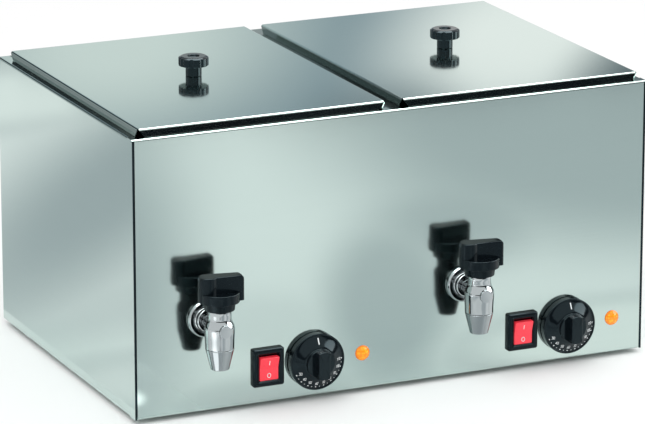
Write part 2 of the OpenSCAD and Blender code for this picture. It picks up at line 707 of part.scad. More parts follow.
module wing_plan() {
  grip_r = wing_end_d / 2;
  tip_r = wing_tip_d / 2;
  grip_x = wing_off + grip_r - wing_l / 2;
  tip_x = wing_off + wing_l / 2 - tip_r;
  web_y = grip_set + wing_step - grip_r;
  fillet_y = web_y - wing_fillet;
  fillet_x = grip_x + sqrt(pow(grip_r + wing_fillet, 2) - pow(grip_set - fillet_y, 2));
  meet = asin((grip_set - fillet_y) / (grip_r + wing_fillet));
  taper = asin((grip_r - tip_r) / (tip_x - grip_x));
  polygon(concat(
    arc_points([grip_x, grip_set], grip_r, 90 - taper, 360 - meet, 36),
    arc_points([fillet_x, fillet_y], wing_fillet, 180 - meet, 90, 4, 1),
    arc_points([tip_x + tip_r - wing_fillet, web_y + wing_fillet], wing_fillet, -90, 0, 6),
    arc_points([tip_x, grip_set], tip_r, 0, 90 - taper, 8)));
}

module wing() intersection() {
  linear_extrude(handle_h) wing_plan();
  translate([wing_off, 0, 0]) rotate([90, 0, 0]) linear_extrude(2 * wing_l, center = true) {
    translate([-wing_l / 2, 0]) square([wing_l, handle_h - wing_r]);
    translate([wing_r - wing_l / 2, 0]) square([wing_l - 2 * wing_r, handle_h]);
    for (s = [-1, 1]) translate([s * (wing_l / 2 - wing_r), handle_h - wing_r]) circle(r = wing_r);
  }
}

module tap_handle(side) color(black_c) at_tap(side) translate([0, 0, handle_z]) difference() {
  union() {
    rotate_extrude() polygon([[0, 0], [handle_d / 2 - 1, 0], [handle_d / 2, 1],
      [handle_d / 2, handle_disc_h - 1], [handle_d / 2 - 1, handle_disc_h], [0, handle_disc_h]]);
    rotate([0, 0, handle_turn]) wing();
  }
  translate([0, 0, -1]) cylinder(d = stem_d + 2 * run_fit, h = stem_top - handle_z + 1);
}

module tap_locknut(side) color(chrome_c) at_panel(unit_x(side) + tap_off, tap_z)
  translate([0, 0, -sheet_t - locknut_h]) difference() {
    hex(locknut_af, locknut_h);
    translate([0, 0, -1]) cylinder(d = shank_d + 2 * run_fit, h = locknut_h + 2);
  }

// Rocker switches

module switch_frame(side) color(black_c) at_panel(unit_x(side) + switch_off, row_z) difference() {
  union() {
    linear_extrude(frame_t - 2) round_rect(frame_w, frame_h, 2);
    linear_extrude(frame_t - 1) round_rect(frame_w - 1.2, frame_h - 1.2, 2);
    linear_extrude(frame_t) round_rect(frame_w - 3, frame_h - 3, 2);
  }
  cube([2 * rocker_bay, 2 * rocker_room, 3 * frame_t], center = true);
  translate([0, 0, frame_t - 1.2]) linear_extrude(2)
    round_rect(2 * rocker_bay + 2.4, 2 * rocker_room + 2.4, 1.5);
}

module switch_body(side) color(black_c) at_panel(unit_x(side) + switch_off, row_z) difference() {
  translate([-switch_w / 2, -switch_h / 2, -sheet_t - switch_depth])
    cube([switch_w, switch_h, switch_depth + sheet_t]);
  translate([-rocker_bay, -rocker_room, -rocker_pivot - rocker_sink])
    cube([2 * rocker_bay, 2 * rocker_room, 3 * rocker_sink]);
  translate([0, 0, -rocker_pivot]) rotate([0, 90, 0])
    cylinder(d = rocker_pin_d + 2 * run_fit, h = 2 * (rocker_bay + 1.2), center = true);
}

module switch_rocker(side) color(red_c)
  at_panel(unit_x(side) + switch_off, row_z) translate([0, 0, -rocker_pivot])
    rotate([rocker_lean, 0, 0]) {
      rotate([0, 90, 0]) rotate([0, 0, 90]) linear_extrude(rocker_w, center = true)
        polygon([[-rocker_h / 2, rocker_tip], [0, rocker_rise], [rocker_h / 2, rocker_tip],
          [rocker_h / 2 - 0.6, rocker_pivot], [rocker_foot, -rocker_foot], [-rocker_foot, -rocker_foot],
          [0.6 - rocker_h / 2, rocker_pivot]]);
      rotate([0, 90, 0]) cylinder(d = rocker_pin_d, h = 2 * rocker_bay + 1.6, center = true);
    }

// Thermostats

module dial(side) color(black_c) at_panel(unit_x(side) + dial_off, row_z) difference() {
  union() {
    rotate_extrude() polygon([[0, dial_air], [dial_d / 2, dial_air], [dial_d / 2, cone_z - 0.8],
      [dial_d / 2 - 0.8, cone_z], [dial_d / 2 - 2.4, cone_z], [dial_d / 2 - 2.8, cone_z - 0.6],
      [grip_d / 2 + 1.5, shoulder_z], [grip_d / 2, shoulder_z], [grip_d / 2, grip_z - 4.5],
      [grip_d / 2 - 1, grip_z - 3.5], [0, grip_z - 3.5]]);
    translate([0, 0, shoulder_z - 2]) linear_extrude(dial_h - shoulder_z + 2) intersection() {
      circle(d = grip_d - 0.4);
      square([grip_bar, 2 * grip_d], center = true);
    }
  }
  difference() {
    translate([0, 0, dial_air - 1]) cylinder(d = dial_d - 7, h = dial_skirt_h - 1);
    translate([0, 0, dial_air + 1.2]) cylinder(d = dial_shaft_d + 6, h = dial_skirt_h);
  }
  translate([0, 0, dial_air - 1]) cylinder(d = dial_shaft_d + 2 * run_fit, h = grip_z - 6);
}

module dial_shaft(side) color(chrome_c) at_panel(unit_x(side) + dial_off, row_z)
  translate([0, 0, -shaft_sink]) cylinder(d = dial_shaft_d, h = shaft_sink + dial_air + grip_z - 7);

module thermostat(side) color(white_c) at_panel(unit_x(side) + dial_off, row_z) difference() {
  union() {
    translate([-stat_w / 2, -stat_w / 2, -stat_back]) cube([stat_w, stat_w, stat_depth]);
    translate([0, 0, -sheet_t - eps]) cylinder(d = stat_bush_d, h = 2 * sheet_t);
  }
  translate([0, 0, -shaft_sink - move_air])
    cylinder(d = dial_shaft_d + 2 * run_fit, h = shaft_sink + 3 * sheet_t);
  for (up = [-1, 1]) translate([0, up * stat_screw_pitch / 2, -stat_screw_l - 2 * sheet_t])
    cylinder(d = screw_d + 2 * run_fit, h = stat_screw_l + 2 * sheet_t);
}

module thermostat_screws() color(chrome_c) for (side = [-1, 1]) for (up = [-1, 1])
  at_panel(unit_x(side) + dial_off, row_z + up * stat_screw_pitch / 2)
    screw(screw_d, stat_screw_l, screw_head_d, screw_head_h);

module sensor(side) color(brass_c) translate([unit_x(side) + dial_off, 0, 0]) {
  translate([0, stat_y, capillary_z]) rotate([-90, 0, 0]) cylinder(d = capillary_d, h = capillary_run);
  translate([0, stat_y + capillary_run, capillary_z + capillary_r]) rotate([90, 0, 90])
    rotate([0, 0, -90]) elbow(capillary_r, capillary_d);
  translate([0, stat_y + capillary_run + capillary_r, capillary_z + capillary_r])
    cylinder(d = capillary_d, h = bulb_z - capillary_z - 2 * capillary_r);
  translate([0, bulb_y, bulb_z - capillary_r]) rotate([90, 0, 90])
    rotate([0, 0, 90]) elbow(capillary_r, capillary_d);
  translate([0, bulb_y, bulb_z]) rotate([-90, 0, 0]) cylinder(d = bulb_d, h = bulb_l);
}

// Pilot lamps

module lamp_lens(side) color(amber_c) at_panel(unit_x(side) + lamp_off, row_z) union() {
  rotate_extrude() intersection() {
    square([lens_d / 2, lens_h]);
    translate([0, lens_h - lens_d * 0.75]) circle(r = lens_d * 0.75);
  }
  translate([0, 0, -lens_stem_l]) cylinder(d = lens_stem_d, h = lens_stem_l + eps);
}

module lamp_holders() color(white_c) for (side = [-1, 1])
  at_panel(unit_x(side) + lamp_off, row_z) difference() {
    union() {
      translate([0, 0, -sheet_t - lamp_nut_h]) cylinder(d = 2 * lens_stem_d, h = lamp_nut_h);
      translate([0, 0, -sheet_t - lamp_depth]) cylinder(d = 1.5 * lens_stem_d, h = lamp_depth);
    }
    translate([0, 0, -lens_stem_l]) cylinder(d = lens_stem_d + 2 * run_fit, h = lens_stem_l + sheet_t);
  }

// Supply

module cable_gland() color(black_c) translate([gland_x, rear_y, z0 + gland_z]) rotate([-90, 0, 0])
  difference() {
    union() {
      translate([0, 0, -2 * sheet_t - 6]) cylinder(d = gland_af * 0.72, h = 2 * sheet_t + 8);
      hex(gland_af, 7);
      cylinder(d = gland_af * 0.9, h = 9);
      rotate_extrude() polygon([[0, 0], [gland_af * 0.44, 0], [gland_af * 0.44, gland_reach - 4],
        [gland_af * 0.32, gland_reach + sheet_t], [0, gland_reach + sheet_t]]);
      translate([0, 0, -sheet_t - 4.5]) hex(gland_af, 4.5);
    }
    translate([0, 0, -gland_reach]) cylinder(d = gland_bore, h = 3 * gland_reach);
  }

module terminal_block() color(white_c) translate([gland_x - block_w / 2, block_y, z0 + 2 * sheet_t])
  difference() {
    cube([block_w, block_d, block_h]);
    for (k = [0:2]) translate([block_w * (k + 0.5) / 3, block_d * 0.3, block_h - 5]) cylinder(d = 6, h = 10);
    for (k = [0:2]) translate([block_w * (k + 0.5) / 3, block_d * 0.7, block_h - 5]) cylinder(d = 6, h = 10);
  }

module loom_branch(x) {
  translate([x, loom_y, loom_z + loom_r]) cylinder(d = loom_d, h = row_z + z0 - loom_z - 2 * loom_r);
  translate([x, loom_y - loom_r, z0 + row_z - loom_r]) rotate([90, 0, 90]) elbow(loom_r, loom_d);
  translate([x, loom_y - loom_r, z0 + row_z]) rotate([90, 0, 0]) cylinder(d = loom_d, h = loom_gap);
}

module wiring_loom() color(grey_c) {
  translate([gland_x, loom_y + loom_r, loom_z]) rotate([-90, 0, 0])
    cylinder(d = loom_d, h = block_y - loom_y - loom_r);
  translate([gland_x - loom_r, loom_y + loom_r, loom_z]) rotate([0, 0, -90]) elbow(loom_r, loom_d);
  translate([loom_x(-1) + loom_r, loom_y, loom_z]) rotate([0, 90, 0])
    cylinder(d = loom_d, h = gland_x - loom_x(-1) - 2 * loom_r);
  translate([loom_x(-1) + loom_r, loom_y, loom_z + loom_r]) rotate([90, 0, 0])
    rotate([0, 0, 180]) elbow(loom_r, loom_d);
  loom_branch(loom_x(-1));
  translate([loom_x(1), loom_y, loom_z]) cylinder(d = loom_d, h = loom_r + eps);
  loom_branch(loom_x(1));
}

front_panel();
side_panel_left();
side_panel_right();
rear_panel();
top_deck();
base_plate();
rubber_feet();
foot_screws();
base_screws();
rear_screws();
well(-1);  // well_left
well(1);  // well_right
drain_socket(-1);  // drain_socket_left
drain_socket(1);  // drain_socket_right
heater(-1);  // heater_left
heater(1);  // heater_right
heater_clamps(-1);  // heater_clamps_left
heater_clamps(1);  // heater_clamps_right
heater_nuts();
lid(-1);  // lid_left
lid(1);  // lid_right
lid_knob(-1);  // lid_knob_left
lid_knob(1);  // lid_knob_right
lid_screw(-1);  // lid_screw_left
lid_screw(1);  // lid_screw_right
tap_flange(-1);  // tap_flange_left
tap_flange(1);  // tap_flange_right
tap_body(-1);  // tap_body_left
tap_body(1);  // tap_body_right
tap_nozzle(-1);  // tap_nozzle_left
tap_nozzle(1);  // tap_nozzle_right
tap_bonnet(-1);  // tap_bonnet_left
tap_bonnet(1);  // tap_bonnet_right
tap_plug(-1);  // tap_plug_left
tap_plug(1);  // tap_plug_right
tap_handle(-1);  // tap_handle_left
tap_handle(1);  // tap_handle_right
tap_locknut(-1);  // tap_locknut_left
tap_locknut(1);  // tap_locknut_right
switch_frame(-1);  // switch_frame_left
switch_frame(1);  // switch_frame_right
switch_body(-1);  // switch_body_left
switch_body(1);  // switch_body_right
switch_rocker(-1);  // switch_rocker_left
switch_rocker(1);  // switch_rocker_right
dial(-1);  // dial_left
dial(1);  // dial_right
dial_shaft(-1);  // dial_shaft_left
dial_shaft(1);  // dial_shaft_right
thermostat(-1);  // thermostat_left
thermostat(1);  // thermostat_right
thermostat_screws();
sensor(-1);  // sensor_left
sensor(1);  // sensor_right
lamp_lens(-1);  // lamp_lens_left
lamp_lens(1);  // lamp_lens_right
lamp_holders();
cable_gland();
terminal_block();
wiring_loom();
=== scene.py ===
# %% [markdown]
# # A counter-top sausage warmer
#
# The warmer is a folded stainless steel box with two water wells. Each well has a lift-off lid,
# a chrome drain tap, a red rocker switch, a thermostat dial and an amber lamp. The CAD part
# already holds the true sizes and the joints. This lesson dresses it: sheet metal keeps its CAD
# shape and gets a finish, and the small turned and moulded parts get finer surfaces.

import json
import math

import bpy
import numpy as np
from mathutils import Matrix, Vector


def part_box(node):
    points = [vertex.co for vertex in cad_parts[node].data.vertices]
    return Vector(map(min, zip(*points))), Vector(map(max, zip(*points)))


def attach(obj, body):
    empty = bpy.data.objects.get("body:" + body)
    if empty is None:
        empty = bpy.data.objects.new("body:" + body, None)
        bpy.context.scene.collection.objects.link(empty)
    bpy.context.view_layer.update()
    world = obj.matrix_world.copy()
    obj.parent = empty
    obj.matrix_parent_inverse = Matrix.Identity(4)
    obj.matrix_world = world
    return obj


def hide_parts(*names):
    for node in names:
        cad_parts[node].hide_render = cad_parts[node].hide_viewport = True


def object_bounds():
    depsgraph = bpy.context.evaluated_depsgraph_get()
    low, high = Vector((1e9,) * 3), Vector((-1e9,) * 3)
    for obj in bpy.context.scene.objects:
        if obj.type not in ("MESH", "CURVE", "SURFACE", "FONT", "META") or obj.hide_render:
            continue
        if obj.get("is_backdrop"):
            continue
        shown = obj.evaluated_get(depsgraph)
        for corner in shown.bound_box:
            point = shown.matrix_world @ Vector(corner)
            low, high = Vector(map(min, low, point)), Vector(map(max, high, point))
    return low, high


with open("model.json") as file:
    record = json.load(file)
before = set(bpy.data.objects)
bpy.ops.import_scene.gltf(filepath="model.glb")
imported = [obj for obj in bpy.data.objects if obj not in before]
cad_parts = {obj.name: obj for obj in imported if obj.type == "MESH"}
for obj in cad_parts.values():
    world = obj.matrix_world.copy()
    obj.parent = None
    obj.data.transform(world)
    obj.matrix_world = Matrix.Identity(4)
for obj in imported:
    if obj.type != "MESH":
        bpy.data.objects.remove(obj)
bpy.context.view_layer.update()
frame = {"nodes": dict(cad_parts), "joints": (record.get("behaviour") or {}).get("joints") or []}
nodes = frame["nodes"]
scene = bpy.context.scene
MM = 0.001
SIDES = ("left", "right")

# %% [markdown]
# ## Where the moving parts sit
#
# Every turning part is drawn around its own joint. The places could be typed in, but the joint
# list is a better source, because it follows the CAD model. A tap's joint lies on its stem, a
# dial's on the panel face in the middle of the dial, and a rocker's on its pivot pin.

# %% Read the joint places
pivot = {j["name"]: np.array(j.get("pos_m", (0, 0, 0)), float) for j in frame["joints"]}
panel_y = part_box("front_panel")[0].y
for side in SIDES:
    print(side, "tap", pivot["tap_turn_" + side], "dial", pivot["dial_turn_" + side])


# %% [markdown]
# ## Curves and surfaces
#
# Turned and moulded parts are described by an outline and the path that carries it. Blender's
# Screw and Bevel modifiers could do this too. Here the points are worked out as arrays, so that
# each formula can be read and the mesh comes out the same every time. Real edges are never quite
# sharp, so every corner of an outline is first eased with a small curve.


# %% Outlines with eased corners
def eased(points, radius, steps=5, loop=False):
    """Each corner P becomes (1-t)^2 A + 2t(1-t) P + t^2 B, with A and B at most radius away on its
    two sides. A guard point on either side keeps the flats flat. An open line keeps its two ends."""
    most, guard = 0.4, 1.2
    pts = np.asarray(points, float)
    t = np.linspace(0, 1, steps)[:, None]
    out = [] if loop else [pts[:1]]
    order = range(len(pts)) if loop else range(1, len(pts) - 1)
    for i in order:
        p, a, b = pts[i], pts[i - 1] - pts[i], pts[(i + 1) % len(pts)] - pts[i]
        la, lb = np.linalg.norm(a), np.linalg.norm(b)
        ra, rb = min(radius, la * most), min(radius, lb * most)
        start, end = p + a / la * ra, p + b / lb * rb
        bend = (1 - t) ** 2 * start + 2 * t * (1 - t) * p + t ** 2 * end
        out += [p + a / la * ra * guard, bend, p + b / lb * rb * guard]
    out += [] if loop else [pts[-1:]]
    return np.vstack(out)


square = [(0, 0), (1, 0), (1, 1), (0, 1)]
print("a square with eased corners has", len(eased(square, 0.1, loop=True)), "points")


# %% Surfaces over a grid of points
def skin(grid, ring=False):
    """Mesh over a grid of points whose columns go round: quads between rows. A ring joins its last
    row to its first; any other grid closes in one point, the mean of the row, at each end."""
    rows, cols, _ = grid.shape
    if ring:
        at = np.arange(rows * cols).reshape(rows, cols)
        up = np.roll(at, -1, 0)
        quads = np.stack([at, np.roll(at, -1, 1), np.roll(up, -1, 1), up], -1)
        return grid.reshape(-1, 3), quads.reshape(-1, 4).tolist()
    inner = grid[1:-1].reshape(-1, 3)
    at = np.arange(len(inner)).reshape(rows - 2, cols)
    on = np.roll(at, -1, 1)
    quads = np.stack([at[:-1], on[:-1], on[1:], at[1:]], -1).reshape(-1, 4)
    foot, top = np.full(cols, len(inner)), np.full(cols, len(inner) + 1)
    fans = np.vstack([np.stack([foot, on[0], at[0]], -1), np.stack([top, at[-1], on[-1]], -1)])
    points = np.vstack([inner, grid[:1].mean(1), grid[-1:].mean(1)])
    return points, quads.tolist() + fans.tolist()


def turned(profile, count=96, ring=False):
    """A lathe surface: (r cos a, r sin a, z) for each point (r, z) of the profile and a from 0 to 2 pi."""
    r, z = np.asarray(profile, float).T
    a = np.linspace(0, 2 * np.pi, count, endpoint=False)
    level = np.repeat(z[:, None], count, 1)
    return skin(np.stack([np.outer(r, np.cos(a)), np.outer(r, np.sin(a)), level], -1), ring)


print("a cone turned in 12 steps has", len(turned([(0, 0), (1, 0), (0, 1)], 12)[1]), "faces")


# %% [markdown]
# ## Shared surface effects
#
# Three effects turn up on more than one material, so each is a node group, built once and placed
# in each material with its own values. Photographs of metal could serve, but noise needs no files
# and has no seams. Sheet grain is the fine brushing of the steel, with the slow waves of thin
# sheet that bend reflections a little. Handling marks vary the gloss of chrome. Moulded grain is
# the faint texture that plastic takes from its mould.


# %% Helpers for shader nodes
def put(tree, kind, inputs=None, **settings):
    """Adds a shader node. A socket among the inputs is linked; any other value is set on its input."""
    made = tree.nodes.new(kind)
    for key, value in settings.items():
        setattr(made, key, value)
    for key, value in (inputs or {}).items():
        if isinstance(value, bpy.types.NodeSocket):
            tree.links.new(value, made.inputs[key])
        else:
            made.inputs[key].default_value = value
    return made


def reckon(tree, operation, *values):
    """Output of a Math node on sockets or numbers."""
    return put(tree, "ShaderNodeMath", dict(enumerate(values)), operation=operation).outputs[0]


def combine(tree, operation, *vectors):
    """Output of a Vector Math node on sockets or triples."""
    made = put(tree, "ShaderNodeVectorMath", dict(enumerate(vectors)), operation=operation)
    return made.outputs["Value" if operation == "DOT_PRODUCT" else "Vector"]


def remap(tree, value, low, high, new_low=0.0, new_high=1.0, kind="LINEAR"):
    """Output of a Map Range node, held within its ends."""
    ends = {"From Min": low, "From Max": high, "To Min": new_low, "To Max": new_high}
    return put(tree, "ShaderNodeMapRange", {"Value": value, **ends}, interpolation_type=kind).outputs[0]


def noise(tree, point, scale, detail):
    """Output of a Noise Texture node."""
    values = {"Vector": point, "Scale": scale, "Detail": detail}
    return put(tree, "ShaderNodeTexNoise", values).outputs[0]


def new_group(name, ins, outs):
    """An empty node group with its input and output sockets."""
    tree = bpy.data.node_groups.new(name, "ShaderNodeTree")
    for label, kind, value in ins:
        tree.interface.new_socket(label, in_out="INPUT", socket_type=kind).default_value = value
    for label, kind in outs:
        tree.interface.new_socket(label, in_out="OUTPUT", socket_type=kind)
    return tree, tree.nodes.new("NodeGroupInput").outputs, tree.nodes.new("NodeGroupOutput").inputs


VECTOR, FLOAT = "NodeSocketVector", "NodeSocketFloat"
print("node groups so far:", len(bpy.data.node_groups))


# %% Sheet grain
def sheet_grain():
    """Streaks: noise stretched by the vector Stretch. Waves: slow noise, used as a height of Wave
    metres. Upright is 1 - |n.z| for the normal n, and Lean tips upright faces towards the sky by
    that slope."""
    tree, ins, outs = new_group(
        "sheet_grain",
        [("Point", VECTOR, (0, 0, 0)), ("Stretch", VECTOR, (4, 400, 400)),
         ("Wave", FLOAT, 0.001), ("Lean", FLOAT, 0.0)],
        [("Streak", FLOAT), ("Cloud", FLOAT), ("Upright", FLOAT), ("Normal", VECTOR)])
    streak = noise(tree, combine(tree, "MULTIPLY", ins["Point"], ins["Stretch"]), 1.0, 3.0)
    cloud = noise(tree, ins["Point"], 7.0, 2.0)
    slow = noise(tree, ins["Point"], 3.2, 0.5)
    facing = put(tree, "ShaderNodeNewGeometry").outputs["Normal"]
    height = put(tree, "ShaderNodeSeparateXYZ", {0: facing}).outputs["Z"]
    upright_share = reckon(tree, "SUBTRACT", 1.0, reckon(tree, "ABSOLUTE", height))
    rise = reckon(tree, "MULTIPLY", upright_share, ins["Lean"])
    lift = put(tree, "ShaderNodeCombineXYZ", {"Z": rise}).outputs[0]
    leaning = combine(tree, "NORMALIZE", combine(tree, "ADD", facing, lift))
    wavy = put(tree, "ShaderNodeBump", {"Height": slow, "Distance": ins["Wave"], "Strength": 1.0,
                                        "Normal": leaning})
    fine = put(tree, "ShaderNodeBump", {"Height": streak, "Distance": 0.00001, "Strength": 0.5,
                                        "Normal": wavy.outputs[0]})
    made = {"Streak": streak, "Cloud": cloud, "Upright": upright_share, "Normal": fine.outputs[0]}
    for label, socket in made.items():
        tree.links.new(socket, outs[label])
    return tree


grain = sheet_grain()
print("sheet grain has", len(grain.nodes), "nodes")


# %% Handling marks and moulded grain
def handling():
    """Marks: noise of finger size, softly clipped, for the gloss of polished metal."""
    tree, ins, outs = new_group("handling", [("Point", VECTOR, (0, 0, 0))], [("Marks", FLOAT)])
    tree.links.new(remap(tree, noise(tree, ins["Point"], 45.0, 3.0), 0.4, 0.75), outs["Marks"])
    return tree


def moulded():
    """Speck: fine noise of a mould's skin, with the normal it gives."""
    tree, ins, outs = new_group("moulded", [("Point", VECTOR, (0, 0, 0)), ("Depth", FLOAT, 0.00002)],
                                [("Speck", FLOAT), ("Normal", VECTOR)])
    speck = noise(tree, ins["Point"], 900.0, 2.0)
    bump = put(tree, "ShaderNodeBump", {"Height": speck, "Distance": ins["Depth"], "Strength": 0.6})
    tree.links.new(speck, outs["Speck"])
    tree.links.new(bump.outputs[0], outs["Normal"])
    return tree


marks = handling()
mould_skin = moulded()
print("node groups:", [group.name for group in bpy.data.node_groups])


# %% [markdown]
# ## Materials
#
# A metal takes its colour from what it mirrors, so its own colour is only a slight tint. Plastic
# has its own colour and a thin clear reflection on top. Every finish here is one Principled shader.


# %% Helpers for materials
def blank(name):
    """A new material: its tree, its Principled node and its object coordinates."""
    mat = bpy.data.materials.new(name)
    mat.use_nodes = True
    tree = mat.node_tree
    point = put(tree, "ShaderNodeTexCoord").outputs["Object"]
    return mat, tree, tree.nodes["Principled BSDF"], point


def mix_colour(tree, share, low, high, blend="MIX"):
    """Output of a Mix node between two colours, each a socket or three numbers."""
    a, b = (c if isinstance(c, bpy.types.NodeSocket) else (*c, 1) for c in (low, high))
    made = put(tree, "ShaderNodeMix", {0: share, 6: a, 7: b}, data_type="RGBA", blend_type=blend)
    return made.outputs[2]


def spread(tree, value, low, high):
    """Maps a noise value around a half to a range."""
    return remap(tree, value, 0.3, 0.7, low, high)


def normal_y(tree):
    """How far a face is turned to the back: the y of its normal."""
    facing = put(tree, "ShaderNodeNewGeometry").outputs["Normal"]
    return put(tree, "ShaderNodeSeparateXYZ", {0: facing}).outputs["Y"]


print("materials so far:", len(bpy.data.materials))


# %% [markdown]
# ## Brushed sheet
#
# Casing and lids are stainless sheet, brushed in one direction and nearly mirror bright. An
# anisotropic shader could stretch the highlights, but it needs tangents that folded sheet doesn't
# have. Fine noise, stretched along the brushing, gives the same look close by.


# %% Sheet finishes
def steel(name, tint, rough, stretch, lean=0.0, upright_shade=1.0, seam=None):
    """Brushed stainless sheet. Upright folds lean outwards by a small slope, as they spring back
    after bending, and upright faces get a painted shade: their colour is multiplied by the given factor.
    Where seam is given, faces turned to the front or back have that colour: the shadow in the
    joint between two sheets."""
    mat, tree, shader, point = blank(name)
    values = {"Point": point, "Stretch": stretch, "Wave": 0.0004, "Lean": lean}
    sheet = put(tree, "ShaderNodeGroup", values, node_tree=grain).outputs
    low, high = [c * 0.985 for c in tint], [min(1, c * 1.015) for c in tint]
    colour = mix_colour(tree, sheet["Streak"], low, high)
    # Painted shade on upright faces, such as the lid flanges.
    if upright_shade < 1:
        upright_dark = mix_colour(tree, sheet["Upright"], (1, 1, 1), (upright_shade, upright_shade, upright_shade))
        colour = mix_colour(tree, 1.0, colour, upright_dark, "MULTIPLY")
    if seam:
        share = remap(tree, reckon(tree, "ABSOLUTE", normal_y(tree)), 0.35, 0.55)
        colour = mix_colour(tree, share, colour, seam)
    gloss = spread(tree, sheet["Cloud"], rough * 0.85, rough * 1.2)
    tree.links.new(colour, shader.inputs["Base Color"])
    tree.links.new(gloss, shader.inputs["Roughness"])
    tree.links.new(sheet["Normal"], shader.inputs["Normal"])
    shader.inputs["Metallic"].default_value = 1.0
    return mat


STEEL_TINT = (0.535, 0.645, 0.615)
ACROSS, DEEP = (5, 500, 500), (500, 5, 500)
casing = steel("casing_sheet", STEEL_TINT, 0.10, ACROSS)
flank = steel("flank_sheet", STEEL_TINT, 0.10, DEEP, seam=(0.02, 0.03, 0.035))
# The lid flanges get a painted shade: their upright faces keep 0.6 of the colour.
lid_steel = steel("lid_sheet", STEEL_TINT, 0.09, ACROSS, lean=0.05, upright_shade=0.6)
# The top deck has a painted shade: the same steel at 0.4 of its tint, so the ledges and the gap between
# the lids look dark.
shaded_deck = steel("shaded_deck_sheet", [c * 0.4 for c in STEEL_TINT], 0.16, ACROSS)
print("sheet finishes:", casing.name, flank.name, lid_steel.name, shaded_deck.name)


# %% [markdown]
# ## Polished metal
#
# The taps are chrome plated, and screws, heaters and tap plugs are plain turned metal. One
# roughness would do, but a hand leaves dull patches on chrome, so the gloss follows the handling
# marks. The faces of the taps turned towards the wall get a painted dark shade, and the spout is a
# darker copy of the chrome: painted shade as well.


# %% Metal finishes
def polished(name, tint, low, high, back_shade=None):
    """Polished or plated metal with handling marks. Where a back shade colour is given, faces turned
    to the back get it as a painted dark shade, by the smoothstep of the normal's y from -0.15 to 0.15."""
    mat, tree, shader, point = blank(name)
    mark = put(tree, "ShaderNodeGroup", {"Point": point}, node_tree=marks).outputs["Marks"]
    colour = mix_colour(tree, mark, tint, [c * 0.96 for c in tint])
    if back_shade:
        back = remap(tree, normal_y(tree), -0.15, 0.15, kind="SMOOTHSTEP")
        colour = mix_colour(tree, back, colour, back_shade)
    tree.links.new(colour, shader.inputs["Base Color"])
    tree.links.new(remap(tree, mark, 0.0, 1.0, low, high), shader.inputs["Roughness"])
    shader.inputs["Metallic"].default_value = 1.0
    return mat


# A painted dark shade for the faces of the taps turned towards the wall.
BACK_SHADE = (0.016, 0.02, 0.022)
chrome = polished("tap_chrome", (0.45, 0.49, 0.50), 0.03, 0.07, BACK_SHADE)
# The spout is a darker copy of the tap chrome: a painted shade.
shaded_spout_chrome = polished("shaded_spout_chrome", (0.34, 0.375, 0.385), 0.03, 0.07, BACK_SHADE)
screw_steel = polished("bright_steel", (0.66, 0.70, 0.70), 0.14, 0.3)
sheath = polished("heater_sheath", (0.34, 0.33, 0.32), 0.3, 0.45)
brass = polished("plain_brass", (0.72, 0.52, 0.24), 0.16, 0.32)
print("metal finishes:", chrome.name, shaded_spout_chrome.name, screw_steel.name, sheath.name, brass.name)


# %% [markdown]
# ## Moulded plastic
#
# Knobs and dials are glossy black, handles and switch frames satin black, and the rockers are red,
# with a painted glow that stands for light passing through them. A clear coat could give the gloss.
# The specular level is simpler: it changes from a face seen square on to one seen at a glance, as on
# worn and new plastic.


# %% Plastic finishes
def plastic(name, tint, rough, depth, change=0.25, shine=0.5, rim=0.5, glow=0.0):
    """Moulded plastic or rubber. The specular level goes from shine, seen square on, to rim, seen
    at a glance. Glow is painted light: an emission that stands for the light passing through."""
    mat, tree, shader, point = blank(name)
    values = {"Point": point, "Depth": depth}
    grainy = put(tree, "ShaderNodeGroup", values, node_tree=mould_skin).outputs
    low, high = [c * (1 - change) for c in tint], [c * (1 + change) for c in tint]
    colour = mix_colour(tree, grainy["Speck"], low, high)
    gloss = spread(tree, grainy["Speck"], rough * 0.9, rough * 1.1)
    glance = put(tree, "ShaderNodeLayerWeight", {"Blend": 0.5}).outputs["Facing"]
    level = remap(tree, glance, 0.5, 0.85, shine, rim)
    tree.links.new(colour, shader.inputs["Base Color"])
    tree.links.new(gloss, shader.inputs["Roughness"])
    tree.links.new(grainy["Normal"], shader.inputs["Normal"])
    tree.links.new(level, shader.inputs["Specular IOR Level"])
    shader.inputs["Specular Tint"].default_value = (0.66, 0.92, 1.0, 1.0)
    if glow:
        tree.links.new(colour, shader.inputs["Emission Color"])
        shader.inputs["Emission Strength"].default_value = glow
    return mat


BLACK, SMOOTH = (0.003, 0.005, 0.007), 0.000004
black_gloss = plastic("black_gloss", BLACK, 0.12, SMOOTH, shine=0.3, rim=0.7)
black_satin = plastic("black_satin", BLACK, 0.14, SMOOTH, 0.1, shine=0.2, rim=0.0)
# The red rockers have a painted glow: an emission of 0.3, though they are no lamps.
red = plastic("red_plastic", (0.80, 0.035, 0.055), 0.3, SMOOTH, 0.04, glow=0.3)
pale = plastic("pale_plastic", (0.78, 0.77, 0.72), 0.42, 0.00002, 0.03)
rubber = plastic("foot_rubber", (0.02, 0.02, 0.02), 0.65, 0.00005)
sleeve = plastic("grey_sleeve", (0.2, 0.2, 0.21), 0.5, 0.00003, 0.1)
white_print = plastic("white_print", (0.82, 0.84, 0.84), 0.5, 0.000002, 0.02)
print("materials:", len(bpy.data.materials))


# %% [markdown]
# ## The lamp's amber plastic
#
# The lens is clear amber with small prisms moulded inside, which throw the light back in bright
# and dark patches. Real prisms could be modelled, but they would be smaller than a pixel. A cell
# pattern stands for them: painted bright and dark patches, from a pale to a deep amber, and a little
# light glows. The rim gets a painted shade.


